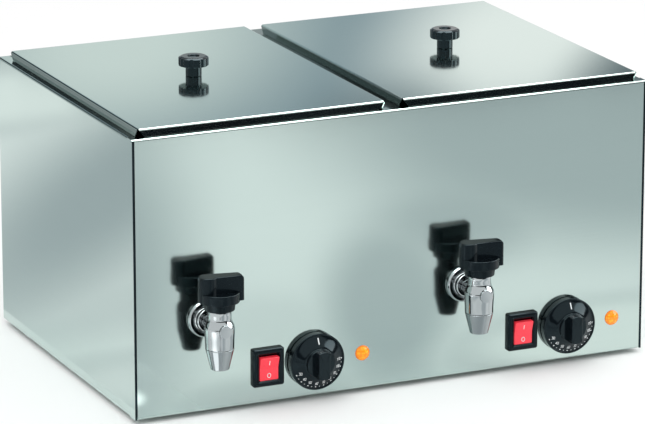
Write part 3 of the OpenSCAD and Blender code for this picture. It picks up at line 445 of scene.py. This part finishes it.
# %% Amber lens
def amber_lens():
    """Cells of a Voronoi pattern, painted bright and dark patches from yellow to deep orange, with a
    faint glow. The rim, where the dome's normal turns away from the front, is painted a deeper orange as
    shade."""
    mat, tree, shader, point = blank("amber_lens")
    cells = put(tree, "ShaderNodeTexVoronoi", {"Vector": point, "Scale": 420.0}, distance="MANHATTAN")
    share = remap(tree, cells.outputs["Distance"], 0.15, 0.8)
    colour = mix_colour(tree, share, (0.93, 0.50, 0.016), (0.90, 0.24, 0.006))
    # Painted shade: a deeper amber where the dome's normal turns away from the front.
    edge = remap(tree, normal_y(tree), -0.88, -0.76)
    colour = mix_colour(tree, edge, colour, (0.62, 0.13, 0.003))
    for socket in ("Base Color", "Emission Color"):
        tree.links.new(colour, shader.inputs[socket])
    shader.inputs["Roughness"].default_value = 0.12
    shader.inputs["Emission Strength"].default_value = 0.28
    return mat


amber = amber_lens()
print("amber lens has", len(amber.node_tree.nodes), "nodes")

# %% [markdown]
# ## Sheet metal and hidden parts
#
# The folded sheets, wells, feet, screws and inner parts already have the right shape in the CAD
# model, so none is rebuilt. Each only needs its finish, found by how its name begins. The grain of
# the front and the lids runs from left to right, and that of the side panels from front to back.

# %% Dress the CAD nodes
FINISH_ROWS = (
    (flank, ("side_panel",)),
    (shaded_deck, ("top_deck",)),
    (lid_steel, ("lid_left", "lid_right")),
    (brass, ("tap_plug", "sensor")),
    (chrome, ("tap_", "drain")),
    (screw_steel, ("lid_screw", "foot_screws", "base_screws", "rear_screws", "thermostat_screws")),
    (screw_steel, ("heater_clamps", "heater_nuts", "dial_shaft")),
    (sheath, ("heater",)),
    (pale, ("thermostat", "lamp_holders", "terminal")),
    (black_satin, ("switch", "cable_gland")),
    (rubber, ("rubber",)),
    (sleeve, ("wiring",)),
    (casing, ("",)),
)
for name, node in nodes.items():
    finish = next(mat for mat, starts in FINISH_ROWS if name.startswith(starts))
    node.data.materials.clear()
    node.data.materials.append(finish)
print("dressed", len(nodes), "CAD nodes")


# %% [markdown]
# ## Drain taps
#
# A tap body is cast brass, turned and chrome plated. Its waist swells into a round belly, a
# separate nozzle screws on below, and a flat round cap closes the hole through which the seat was
# machined. A flange with a groove covers the hole in the panel. Subdivided boxes could be shaped
# into this, but a lathe profile is how the real parts are made, and it keeps the circles true.


# %% Making a piece and setting it in place
def upright(mesh, origin):
    """Local millimetres with z up, placed at a point in metres."""
    return mesh[0] * MM + origin, mesh[1]


def on_panel(mesh, origin):
    """Local millimetres with z out of the front panel and y up, placed at a point in metres."""
    x, y, z = mesh[0].T * MM
    return np.column_stack([x, -z, y]) + origin, mesh[1]


def piece(name, mesh, body, finish, hides=(), sharp=40):
    """A mesh object that rides a body and stands for the named CAD nodes."""
    data = bpy.data.meshes.new(name)
    data.from_pydata(mesh[0].tolist(), [], mesh[1])
    data.shade_smooth()
    data.set_sharp_from_angle(angle=math.radians(sharp))
    data.materials.append(finish)
    obj = bpy.data.objects.new(name, data)
    scene.collection.objects.link(obj)
    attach(obj, body)
    if hides:
        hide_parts(*hides)
    print("made", name, "with", len(mesh[1]), "faces")
    return obj


def foot_of(node, at):
    """The point of a tap's axis at the foot of a CAD node, and the node's height in millimetres."""
    low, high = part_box(node)
    return np.array((at[0], at[1], low.z)), (high.z - low.z) / MM


# %% Tap casting
def joined(*meshes):
    """Several meshes as one list of points and one list of faces."""
    points, faces, start = [], [], 0
    for p, f in meshes:
        points.append(p)
        faces += [[i + start for i in face] for face in f]
        start += len(p)
    return np.vstack(points), faces


def ease(a, b, t):
    """From a to b along half a cosine wave."""
    return a + (b - a) * (1 - np.cos(np.pi * t)) / 2


def tap_casting(drop, top):
    """Belly, swelling and neck as r(z) from -drop to top; a cap towards the front and the shank
    towards the wall."""
    s = np.linspace(0, 1, 24)
    belly = [(0, -drop), (13.4, -drop), (13.9, 0.3 - drop), (14.05, 1 - drop)]
    out = list(zip(ease(14.05, 14.7, s), (1 - drop) * (1 - s)))
    back = list(zip(ease(14.7, 11.5, s[1:]), 11 * s[1:]))
    neck = [(11.5, 14), (11.5, top - 0.6), (11, top), (0, top)]
    cap, cap_faces = turned(eased([(0, 0), (6.3, 0), (6.3, 16), (0, 16.1)], 0.5), 64)
    shank, shank_faces = turned(eased([(0, 0), (8, 0), (8, 52.5), (0, 52.5)], 0.3), 64)
    to_front = np.column_stack([cap[:, 0], -cap[:, 2], cap[:, 1]])
    to_wall = np.column_stack([shank[:, 0], shank[:, 2], -shank[:, 1]])
    return joined(turned(belly + out + back + neck), (to_front, cap_faces), (to_wall, shank_faces))


# %% Tap spout, wall flange and their places
def tap_spout(height):
    """A straight taper with a rounded lip, open in the middle."""
    loop = [(5, 0), (8.9, 0), (14.0, height - 0.5), (13.4, height - 0.1), (5, height - 0.1)]
    return turned(eased(loop, 0.5, loop=True), ring=True)


def wall_flange():
    """A stepped rosette with a groove round its hub."""
    loop = [(18.5, 0), (18.5, 2.3), (17.3, 4.5), (13.6, 4.5), (12.6, 3.5), (11.5, 4.4), (11.5, 8.2),
            (10.6, 9), (8.05, 9), (8.05, 0)]
    return turned(eased(loop, 0.5, loop=True), ring=True)


for side in SIDES:
    at = pivot["tap_turn_" + side]
    foot, height = foot_of("tap_body_" + side, at)
    drop = (at[2] - foot[2]) / MM
    outlet, _ = foot_of("tap_nozzle_" + side, at)
    wall = np.array((at[0], panel_y, at[2]))
    body = upright(tap_casting(drop, height - drop), at)
    spout = upright(tap_spout((foot[2] - outlet[2]) / MM), outlet)
    rosette = on_panel(wall_flange(), wall)
    piece("tap_casting_" + side, body, "cabinet", chrome, ["tap_body_" + side])
    piece("tap_spout_" + side, spout, "cabinet", shaded_spout_chrome, ["tap_nozzle_" + side])
    piece("tap_rosette_" + side, rosette, "cabinet", chrome, ["tap_flange_" + side])


# %% [markdown]
# ## Tap handles
#
# The handle is moulded in black plastic: a thick disc with a wing across it. The wing has a round
# grip at one end and a web that narrows towards the other, so a hand feels which way the tap
# points. It could be cut from a block with booleans, but these leave ragged edges. Here the
# outline is made of arcs, and a boss function raises it and rounds its upper edge.


# %% Arcs and bosses
def arc(centre, radius, start, end, count):
    """Points on a circle from one angle to another, in degrees."""
    a = np.radians(np.linspace(start, end, count))
    return np.column_stack([centre[0] + radius * np.cos(a), centre[1] + radius * np.sin(a)])


def raised(outline, foot, top, edge):
    """A boss on a closed outline c(t): straight walls c(t) from foot to top, an edge
    c(t) - n(t) edge (1 - cos f) at height top - edge (1 - sin f), then c(t) shrinking to the
    middle. top is a function of x."""
    c = np.asarray(outline, float)
    along = np.roll(c, -1, 0) - np.roll(c, 1, 0)
    n = np.stack([along[:, 1], -along[:, 0]], -1) / np.linalg.norm(along, axis=1)[:, None]
    f = np.linspace(0, np.pi / 2, 7)
    base = np.full(len(c), foot)
    flat = [(c, base), (c, base), (c, top(c[:, 0]) - 1.4 * edge)]
    flat += [(c - n * edge * (1 - np.cos(k)), top(c[:, 0]) - edge * (1 - np.sin(k))) for k in f]
    last = flat[-1][0]
    flat += [(last * s, top(last[:, 0] * s)) for s in (0.97, 0.8, 0.6, 0.3, 0.0)]
    return skin(np.stack([np.column_stack([p, z]) for p, z in flat]))


# %% Wing outline
WING_LENGTH, WING_OFF = 44.6, 1.5


def wing_outline(grip=18.6, tip=9.0, behind=1.2, step=2.2, fillet=3.0):
    """Round the grip, along a fillet to the straight front of the web, then round the two corners
    of the tip. The straight back touches both the grip and the tip."""
    r, q = grip / 2, tip / 2
    gx, tx = WING_OFF + r - WING_LENGTH / 2, WING_OFF + WING_LENGTH / 2 - q
    web = behind + step - r
    low = web - fillet
    fx = gx + math.sqrt((r + fillet) ** 2 - (behind - low) ** 2)
    meet = math.degrees(math.asin((behind - low) / (r + fillet)))
    taper = math.degrees(math.asin((r - q) / (tx - gx)))
    return np.vstack([arc((gx, behind), r, 90 - taper, 360 - meet, 60),
                      arc((fx, low), fillet, 180 - meet, 90, 10)[1:],
                      arc((tx + q - fillet, web + fillet), fillet, -90, 0, 10),
                      arc((tx, behind), q, 0, 90 - taper, 14)])


print("wing from x", wing_outline().min(0)[0].round(2), "to", wing_outline().max(0)[0].round(2))


# %% Handles and bonnets
def wing_top(x, high=25.6, end=4.0):
    """Height of the wing at x: level, and falling away at both ends as a circle of radius end."""
    past = np.maximum(np.abs(x - WING_OFF) - (WING_LENGTH / 2 - end), 0)
    return high - end + np.sqrt(np.maximum(end ** 2 - past ** 2, 0))


def tap_handle(turn=math.radians(-3)):
    """Disc and wing, with the wing turned a little on the disc."""
    disc = eased([(0, 0), (19.5, 0), (19.5, 9.8), (17.2, 9.8), (16.6, 9.3), (0, 9.3)], 1.1)
    points, faces = raised(wing_outline(), 0.4, wing_top, 1.3)
    c, s = math.cos(turn), math.sin(turn)
    points = points @ np.array([[c, s, 0], [-s, c, 0], [0, 0, 1]])
    return joined(turned(disc), (points, faces))


def bonnet():
    """A ring with eased edges under the handle, a little narrower at its foot."""
    loop = [(14.7, 0.2), (15.3, 7.7), (5.05, 7.7), (5.05, 5), (11.55, 5), (11.55, 0.2)]
    return turned(eased(loop, 0.7, loop=True), ring=True)


for side in SIDES:
    at = pivot["tap_turn_" + side]
    grip = upright(tap_handle(), foot_of("tap_handle_" + side, at)[0])
    collar = upright(bonnet(), foot_of("tap_bonnet_" + side, at)[0])
    piece("tap_grip_" + side, grip, "tap_key_" + side, black_satin,
          ["tap_handle_" + side])
    piece("tap_collar_" + side, collar, "cabinet", black_satin, ["tap_bonnet_" + side])


# %% [markdown]
# ## Lid knobs
#
# The knob is a turned head with nine finger flutes. A flute is a groove with a round section, so
# along a ray at angle f from the groove's middle its wall lies at d cos f - sqrt(q^2 - d^2 sin^2
# f), where d is the distance of the groove's centre and q its radius. Nine booleans could cut
# them, but taking the smaller of two radii does it in one line.


# %% Fluted knobs
def lid_knob(flutes=9, d=17.2, q=3.2):
    """Lathe profile whose radius is cut back by the nearest flute, on the head only."""
    head = [(0, 0), (8, 0), (8, 10.5), (15, 10.5), (15, 18.5), (12.4, 20), (5.8, 20), (5.4, 17.7),
            (0, 17.5)]
    r, z = eased(head, 0.9, 6).T
    a = np.linspace(0, 2 * np.pi, 216, endpoint=False)
    f = (a + np.pi / flutes) % (2 * np.pi / flutes) - np.pi / flutes
    inside = q ** 2 - (d * np.sin(f)) ** 2
    groove = np.where(inside > 0, d * np.cos(f) - np.sqrt(np.maximum(inside, 0)), np.inf)
    radius = np.minimum(r[:, None], groove[None, :])
    level = np.repeat(z[:, None], len(a), 1)
    return skin(np.stack([radius * np.cos(a), radius * np.sin(a), level], -1))


for side in SIDES:
    low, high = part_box("lid_knob_" + side)
    at = np.array(((low.x + high.x) / 2, (low.y + high.y) / 2, low.z))
    piece("knob_" + side, upright(lid_knob(), at), "lid_unit_" + side, black_gloss,
          ["lid_knob_" + side], sharp=35)

# %% [markdown]
# ## Thermostat dials
#
# A dial is one black moulding: a rim, a hollow cone that carries the scale, and a round grip with
# a bar across it. The scale is printed in white: a line at the top for off, and numbers with dots
# round the lower part. Blender's text objects could give the numbers. Strokes laid as thin ribbons
# are lighter, need no font and follow the cone.

# %% Dial body
CONE = ((26.4, 7.4), (16.0, 13.0))


def cone_height(r):
    """Height of the scale face at radius r: a parabola through both ends of the cone, a little hollow."""
    (r0, z0), (r1, z1) = CONE
    t = (r0 - r) / (r0 - r1)
    return z0 + (z1 - z0) * (0.75 * t + 0.25 * t ** 2)


def bar_top(x):
    """The bar's top is level, 25 mm above the panel."""
    return np.full(np.shape(x), 25.0)


def dial_body(reach=14.3, half=6.0):
    """Rim, hollow cone and grip as one lathe surface, with the bar as a boss."""
    face = [(r, cone_height(r)) for r in np.linspace(CONE[0][0], CONE[1][0], 10)]
    rim = eased([(22, 1), (28.6, 1), (28.6, 8), (27.0, 8), (26.6, 7.5)], 0.6)
    grip = eased([(16.0, 13.0), (14.5, 13.2), (14.5, 16.5), (10, 16.5), (0, 16.4)], 0.7)
    profile = np.vstack([[(0, 1)], rim, face[1:-1], grip])
    lean = math.degrees(math.asin(half / reach))
    ends = [arc((0, 0), reach, middle - lean, middle + lean, 24) for middle in (90, 270)]
    return joined(turned(profile), raised(np.vstack(ends), 12, bar_top, 0.9))


print("scale face from", cone_height(CONE[0][0]), "to", cone_height(CONE[1][0]), "mm high")

# %% Strokes of the digits
STROKES = {
    "0": [(0, 0), (1, 0), (1, 2), (0, 2), (0, 0)],
    "1": [(0.2, 1.6), (0.6, 2), (0.6, 0)],
    "3": [(0, 2), (1, 2), (0.4, 1.2), (1, 0.8), (1, 0.2), (0.7, 0), (0, 0)],
    "4": [(0.8, 0), (0.8, 2), (0, 0.7), (1, 0.7)],
    "5": [(1, 2), (0, 2), (0, 1.1), (0.8, 1.1), (1, 0.8), (1, 0.3), (0.8, 0), (0, 0)],
    "6": [(0.9, 2), (0, 1), (0, 0), (1, 0), (1, 1), (0, 1)],
    "7": [(0, 2), (1, 2), (0.4, 0)],
    "8": [(0, 1), (0, 2), (1, 2), (1, 1), (0, 1), (0, 0), (1, 0), (1, 1)],
    "9": [(1, 1), (0, 1), (0, 2), (1, 2), (1, 1), (0.2, 0)],
}


def ribbon(path, width):
    """Quads of a given width along each piece of a polyline, as points (x, y)."""
    p = np.asarray(path, float)
    d = np.diff(p, axis=0)
    n = np.stack([-d[:, 1], d[:, 0]], -1) / np.linalg.norm(d, axis=1)[:, None] * width / 2
    e = d / np.linalg.norm(d, axis=1)[:, None] * width / 2
    return np.stack([p[:-1] - n - e, p[1:] - n + e, p[1:] + n + e, p[:-1] + n - e], 1)


def stagger(count):
    """Heights for the corners of a row of quads, in turns 0.06 and 0.075, so that neighbours don't
    share a plane."""
    return np.repeat(np.where(np.arange(count) % 2, 0.075, 0.06), 4)


print("digits with strokes:", "".join(STROKES))


# %% Dial print and both dials
def scale_print(start=206, step=19.5, digit_r=21.4, dot_r=25.2):
    """Numbers on the cone, a large dot for each and a small dot between, and the line at the top."""
    numbers = [str(ten) for ten in range(30, 120, 10)]
    quads = [ribbon([(0, 19.2), (0, 23.9)], 1.15)]
    for k, text in enumerate(numbers):
        a = math.radians(start + step * k)
        middle = digit_r * np.array((math.cos(a), math.sin(a)))
        for i, sign in enumerate(text):
            shift = ((i - len(text) / 2) * 1.6 + 0.28, -1.3)
            quads.append(ribbon(np.array(STROKES[sign]) * (1.05, 1.3) + shift, 0.34) + middle)
    diamond = np.array([(1, 0), (0, 1), (-1, 0), (0, -1)])
    for k in range(2 * len(numbers) - 1):
        a = math.radians(start + step * k / 2)
        size = 0.5 if k % 2 else 0.8
        quads.append((diamond * size + dot_r * np.array((math.cos(a), math.sin(a))))[None])
    flat = np.vstack(quads)
    xy = flat.reshape(-1, 2)
    z = cone_height(np.hypot(*xy.T)) + stagger(len(flat))
    return np.column_stack([xy, z]), np.arange(len(xy)).reshape(-1, 4).tolist()


for side in SIDES:
    at = pivot["dial_turn_" + side]
    unit = "dial_unit_" + side
    piece("dial_knob_" + side, on_panel(dial_body(), at), unit, black_gloss,
          ["dial_" + side], sharp=35)
    piece("dial_scale_" + side, on_panel(scale_print(), at), unit, white_print)


# %% [markdown]
# ## Rocker switches
#
# The frame is a rounded rectangle that steps down to the rocker's bay. The rocker has two flat
# faces that meet in a shallow valley, and it stands tilted, so its upper end sticks out. A bevelled
# box would be quicker, but stacked outlines give each step of the frame its true width.


# %% Switch frame
def rounded_rectangle(half_w, half_h, r, count=8):
    """Closed outline, counter-clockwise, with quarter circles of radius r at the corners."""
    spots = ((half_w - r, half_h - r, 0), (r - half_w, half_h - r, 90),
             (r - half_w, r - half_h, 180), (half_w - r, r - half_h, 270))
    return np.vstack([arc((x, y), r, a, a + 90, count) for x, y, a in spots])


def switch_frame():
    """Rounded rectangles, each given by half width, half height, corner and level: outer wall,
    sloping shoulder, flat top, inner slope, bay wall."""
    rows = ((16.3, 19.1, 2.0, 0.0), (16.3, 19.1, 2.0, 3.4), (16.1, 18.9, 2.0, 3.9),
            (15.0, 17.8, 1.8, 5.0), (14.6, 17.4, 1.7, 5.2), (12.6, 15.7, 1.4, 5.2),
            (12.4, 15.5, 1.4, 5.6), (11.6, 14.7, 1.3, 5.6), (10.5, 13.5, 0.6, 4.5),
            (10.2, 13.2, 0.5, 4.2), (10.2, 13.2, 0.5, 0.0))
    levels = []
    for half_w, half_h, r, z in rows:
        outline = rounded_rectangle(half_w, half_h, r)
        levels.append(np.column_stack([outline, np.full(len(outline), z)]))
    return skin(np.stack(levels), ring=True)


print("switch frame has", len(switch_frame()[1]), "faces")

# %% Rocker and its marks
HALF_SWING = math.radians(8)


def tilt(points):
    """Turns points about the pivot by half the swing, so that the upper end stands out."""
    c, s = math.cos(HALF_SWING), math.sin(HALF_SWING)
    return np.asarray(points) @ np.array([[1, 0, 0], [0, c, s], [0, -s, c]])


def rocker(valley, half=11.9):
    """The side view carried across the width, shrinking slightly at both ends, then tilted. The
    valley of its face lies that far in front of the pivot."""
    tip = valley + half * math.tan(HALF_SWING)
    view = [(half, tip), (0, valley), (-half, tip), (-11.3, 2), (-4, -4), (4, -4), (11.3, 2)]
    loop = eased(view, 0.7, 5, loop=True)
    middle = loop.mean(0)
    cuts = ((-9.8, 0.0), (-9.8, 0.93), (-9.65, 0.975), (-9.2, 1.0),
            (9.2, 1.0), (9.65, 0.975), (9.8, 0.93), (9.8, 0.0))
    rows = [np.column_stack([np.full(len(loop), x), middle + (loop - middle) * k]) for x, k in cuts]
    points, faces = skin(np.stack(rows))
    return tilt(points), faces


def switch_marks(valley):
    """A bar on the upper face and a ring on the lower one, laid just above the two faces."""
    bar = ribbon([(0, 4.2), (0, 8.2)], 0.7)
    a = np.radians(np.linspace(0, 360, 25))
    ring = ribbon(np.column_stack([1.7 * np.cos(a), -7 + 2.1 * np.sin(a)]), 0.6)
    xy = np.vstack([bar, ring]).reshape(-1, 2)
    z = valley + stagger(len(xy) // 4) + np.abs(xy[:, 1]) * math.tan(HALF_SWING)
    return tilt(np.column_stack([xy, z])), np.arange(len(xy)).reshape(-1, 4).tolist()


# %% Both switches
VALLEY_OUT = 4.5
for side in SIDES:
    at = pivot["rocker_tilt_" + side]
    key = "rocker_" + side
    wall = np.array((at[0], panel_y, at[2]))
    valley = VALLEY_OUT + (at[1] - panel_y) / MM
    piece("switch_bezel_" + side, on_panel(switch_frame(), wall), "cabinet",
          black_satin, ["switch_frame_" + side], sharp=30)
    piece("rocker_key_" + side, on_panel(rocker(valley), at), key, red,
          ["switch_rocker_" + side], sharp=30)
    piece("rocker_marks_" + side, on_panel(switch_marks(valley), at), key, white_print)


# %% [markdown]
# ## Pilot lamps
#
# The lens is a low dome with a thin rim, pressed against the panel, and a stem that goes through
# it. A squashed sphere would look alike, but a true spherical cap meets the rim at a crisp angle.


# %% Lamp lenses
def lens(big=11.55, high=3.2):
    """A stem, a rim, and a spherical cap of radius big that rises to high."""
    r = np.linspace(7.3, 0, 16)
    dome = list(zip(r, high - big + np.sqrt(big ** 2 - r ** 2)))
    stem = [(0, -7), (4.5, -7), (4.5, 0), (7.5, 0), (7.7, 0.15), (7.65, 0.35)]
    return turned(stem + dome, 72)


for side in SIDES:
    low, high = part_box("lamp_lens_" + side)
    at = np.array(((low.x + high.x) / 2, panel_y, (low.z + high.z) / 2))
    piece("lamp_dome_" + side, on_panel(lens(), at), "cabinet", amber,
          ["lamp_lens_" + side])


# %% [markdown]
# ## Floor and light
#
# The warmer stands on a pale floor under soft light. A picture of a studio could light it, but two
# large lamps and a white sky are enough, and they keep colours as they are written.


# %% Floor
def flat_card(name, corners):
    """A single quad from four corners."""
    data = bpy.data.meshes.new(name)
    data.from_pydata([tuple(c) for c in corners], [], [(0, 1, 2, 3)])
    obj = bpy.data.objects.new(name, data)
    scene.collection.objects.link(obj)
    obj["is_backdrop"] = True
    return obj


def on_floor(x0, y0, x1, y1, z):
    """Corners of a level rectangle at height z."""
    return [(x0, y0, z), (x1, y0, z), (x1, y1, z), (x0, y1, z)]


def floor_paint():
    """Pale matt paint with a trace of mottling."""
    mat, tree, shader, point = blank("floor_paint")
    mottle = noise(tree, point, 3.0, 2.0)
    colour = mix_colour(tree, mottle, (0.90, 0.90, 0.90), (0.92, 0.92, 0.92))
    tree.links.new(colour, shader.inputs["Base Color"])
    shader.inputs["Roughness"].default_value = 0.8
    shader.inputs["Specular IOR Level"].default_value = 0.1
    return mat


floor = flat_card("floor", on_floor(-20, -20, 20, 20, 0))
floor.data.materials.append(floor_paint())
print("floor of", floor.dimensions.x, "by", floor.dimensions.y, "metres")

# %% World and lamps
world = bpy.data.worlds.new("studio")
scene.world = world
world.use_nodes = True
world.node_tree.nodes["Background"].inputs["Color"].default_value = (1, 1, 1, 1)
world.node_tree.nodes["Background"].inputs["Strength"].default_value = 1.0


def lamp(name, place, aim, size, power):
    """A square area lamp that points at a spot."""
    data = bpy.data.lights.new(name, "AREA")
    data.size, data.energy = size, power
    obj = bpy.data.objects.new(name, data)
    scene.collection.objects.link(obj)
    obj.location = place
    to = np.array(aim, float) - np.array(place, float)
    obj.rotation_euler = (math.acos(-to[2] / np.linalg.norm(to)), 0, math.atan2(-to[0], to[1]))
    print("lamp", name, "of", power, "watts")


lamp("key", (-1.6, -1.4, 2.6), (0, 0, 0.1), 1.6, 22)
lamp("fill", (2.2, -1.2, 2.2), (0, 0, 0.1), 1.2, 10)


# %% [markdown]
# ## What the steel mirrors
#
# Bright steel shows its surroundings, so these are part of the picture. A whole room could be
# modelled. It is simpler to set up cards that only reflections show: soft grey and bright pools on
# the floor, and dark walls, stand for the dim and lit parts of a studio.


# %% Card builder
def pool_mask(tree, point, centre, long_way, cross_way, core):
    """1 inside a pool's core and 0 at its rim: smoothstep from core to 1 of |((p-c).a, (p-c).b)|,
    where a and b are the two half axes divided by their squared lengths."""
    away = combine(tree, "SUBTRACT", point, centre)
    parts = []
    for axis in (np.array(long_way, float), np.array(cross_way, float)):
        share = combine(tree, "DOT_PRODUCT", away, tuple(axis / (axis @ axis)))
        parts.append(reckon(tree, "POWER", share, 2.0))
    far = reckon(tree, "SQRT", reckon(tree, "ADD", *parts))
    return remap(tree, far, core, 1.0, 1.0, 0.0, "SMOOTHSTEP")


def reflection_card(name, corners, base, pools=(), solid=True):
    """A card that only glossy rays meet. Its tone starts at base and moves to each pool's tone by
    the pool's mask. A pool is centre, two half axes, tone, strength and core. A card that isn't
    solid is clear outside its pools."""
    card = flat_card(name, corners)
    card.visible_camera = card.visible_diffuse = False
    card.visible_shadow = card.visible_transmission = False
    mat, tree, shader, point = blank(name)
    tree.nodes.remove(shader)
    tone = put(tree, "ShaderNodeRGB").outputs[0]
    tone.default_value = (*base, 1)
    colour, cover = tone, 0.0
    for *shape, pool_tone, strength, core in pools:
        mask = reckon(tree, "MULTIPLY", pool_mask(tree, point, *shape, core), strength)
        colour = mix_colour(tree, mask, colour, pool_tone)
        cover = reckon(tree, "MAXIMUM", cover, mask)
    glow = put(tree, "ShaderNodeEmission", {"Color": colour})
    if not solid:
        clear = put(tree, "ShaderNodeBsdfTransparent")
        glow = put(tree, "ShaderNodeMixShader", {0: cover, 1: clear.outputs[0], 2: glow.outputs[0]})
    tree.links.new(glow.outputs[0], tree.nodes["Material Output"].inputs["Surface"])
    card.data.materials.append(mat)
    print("card", name, "with", len(pools), "pools")


DIM = (0.305, 0.362, 0.40)
GREY = (0.42, 0.46, 0.47)
DARK = (0.012, 0.016, 0.02)
PALE = (1.2, 1.2, 1.18)
BRIGHT = (2.4, 2.4, 2.4)

# %% Floor in front, seen in the front panel
reflection_card("front_shade", on_floor(-1.2, -1.3, 1.6, -0.17, 0.002), DIM, [
    ((0.69, -0.98, 0), (0.33, -0.66, 0), (0.42, 0.21, 0), DIM, 0.62, 0.45),
    ((0.32, -0.67, 0), (0.12, -0.245, 0), (0.153, 0.075, 0), DIM, 0.58, 0.2),
    ((-0.10, -0.19, 0), (0.30, 0, 0), (0, 0.09, 0), DIM, 0.25, 0.3),
    ((-0.03, -0.41, 0), (0.05, -0.14, 0), (0.12, 0.043, 0), DIM, 0.15, 0.3),
    ((0.12, -0.43, 0), (0.19, -0.40, 0), (0.088, 0.042, 0), DIM, 0.56, 0.35),
    ((-0.14, -0.62, 0), (0.38, -0.92, 0), (0.15, 0.065, 0), DIM, 0.62, 0.25),
    ((0.27, -0.235, 0), (0.24, -0.05, 0), (0.03, 0.13, 0), PALE, 0.9, 0.4),
], solid=False)

# %% Floor on the left, seen in the side panel and the left tap
reflection_card("left_shade", on_floor(-0.69, -0.16, -0.29, 1.9, 0.002), DIM, [
    ((-0.565, 0.62, 0), (-0.55, 0.71, 0), (0.158, 0.122, 0), DIM, 0.72, 0.15),
    ((-0.38, 0.20, 0), (0.3, -0.1, 0), (0.04, 0.14, 0), DIM, 0.25, 0.2),
    ((-0.60, 1.06, 0), (0.5, 0, 0), (0, 0.22, 0), PALE, 0.9, 0.3),
    ((-0.34, -0.05, 0), (0.2, 0, 0), (0, 0.14, 0), PALE, 0.7, 0.2),
], solid=False)
reflection_card("corner_floor", on_floor(-1.9, 0.3, -0.69, 1.25, 0.002), GREY)
reflection_card("near_left", on_floor(-1.0, -0.9, -0.2, -0.17, 0.003), BRIGHT, [
    ((-0.47, -0.32, 0), (0.18, 0, 0), (0, 0.14, 0), BRIGHT, 1.0, 0.2),
    ((-0.28, -0.24, 0), (0.05, 0, 0), (0, 0.045, 0), BRIGHT, 1.0, 0.6),
    ((-0.30, -0.50, 0), (-0.08, -0.24, 0), (0.087, -0.029, 0), DARK, 0.85, 0.2),
], solid=False)

# %% Dark room, seen in chrome, folds and lid flanges
reflection_card("room_floor", on_floor(-7, -5, 7, -2.0, 0.003), DARK)
reflection_card("flange_floor", [(0.06, -1.2, 0.004), (0.3, -2.0, 0.004), (1.7, -2.0, 0.004),
                                 (1.35, -1.2, 0.004)], DARK)
reflection_card("room_front", [(-7, -5, 0), (-7, -5, 0.9), (7, -5, 0.9), (7, -5, 0)], DARK)
reflection_card("room_right", [(2.6, -5, 0), (2.6, -5, 1.6), (2.6, 0.3, 1.6), (2.6, 0.3, 0)], DARK)
reflection_card("room_corner", [(-1.2, 1.25, 0), (0.2, 1.25, 0), (0.2, 1.25, 1.1), (-0.66, 1.25, 1.1)],
                (0.04, 0.05, 0.057), [
    ((-0.86, 1.25, 0.15), (-0.93, 0, 0.58), (0.257, 0, 0.412), GREY, 1.0, 0.85),
])

# %% Low card behind, seen in the lids
reflection_card("lid_shade", [(-0.25, 0.6, 0.32), (1.5, 0.6, 0.32), (1.5, 0.6, 0.64), (-0.25, 0.6, 0.64)],
                (0.32, 0.40, 0.45), [
    ((0.02, 0.6, 0.412), (0.33, 0, 0), (0, 0, 0.17), (0.83, 0.885, 0.865), 1.0, 0.1),
    ((0.53, 0.6, 0.452), (0.27, 0, -0.03), (0.02, 0, 0.16), (1.12, 1.11, 1.09), 1.0, 0.2),
    ((0.35, 0.6, 0.552), (0.16, 0, 0), (0, 0, 0.09), (0.21, 0.26, 0.29), 1.0, 0.2),
    ((0.74, 0.6, 0.535), (0.20, 0, 0), (0, 0, 0.115), (0.12, 0.155, 0.175), 1.0, 0.3),
])

# %% Soft boxes, seen as highlights on edges, chrome and black plastic
reflection_card("softbox_top", on_floor(-1.4, -1.2, 1.4, 1.2, 2.4), [3.3 * c for c in BRIGHT])
reflection_card("softbox_right", [(1.6, -1.6, 0.25), (1.6, -0.1, 0.25), (1.6, -0.1, 1.4),
                                  (1.6, -1.6, 1.4)], [2.2 * c for c in BRIGHT])

# %% [markdown]
# ## Camera
#
# The view is from the front left and a little above. A short lens close by would make the near
# corner too large, so the camera stands far off with a long lens, as product photographs are taken.

camera = bpy.data.objects.new("camera", bpy.data.cameras.new("camera"))
scene.collection.objects.link(camera)
camera.location = (-1.7324, -3.7747, 1.3321)
camera.rotation_euler = (math.radians(90 - 16.045), 0, math.radians(-24.611))
camera.data.lens = 239.4
camera.data.sensor_width = 36
scene.camera = camera
scene.view_settings.view_transform = "Standard"

low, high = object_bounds()
print("dressed box from", list(low), "to", list(high))
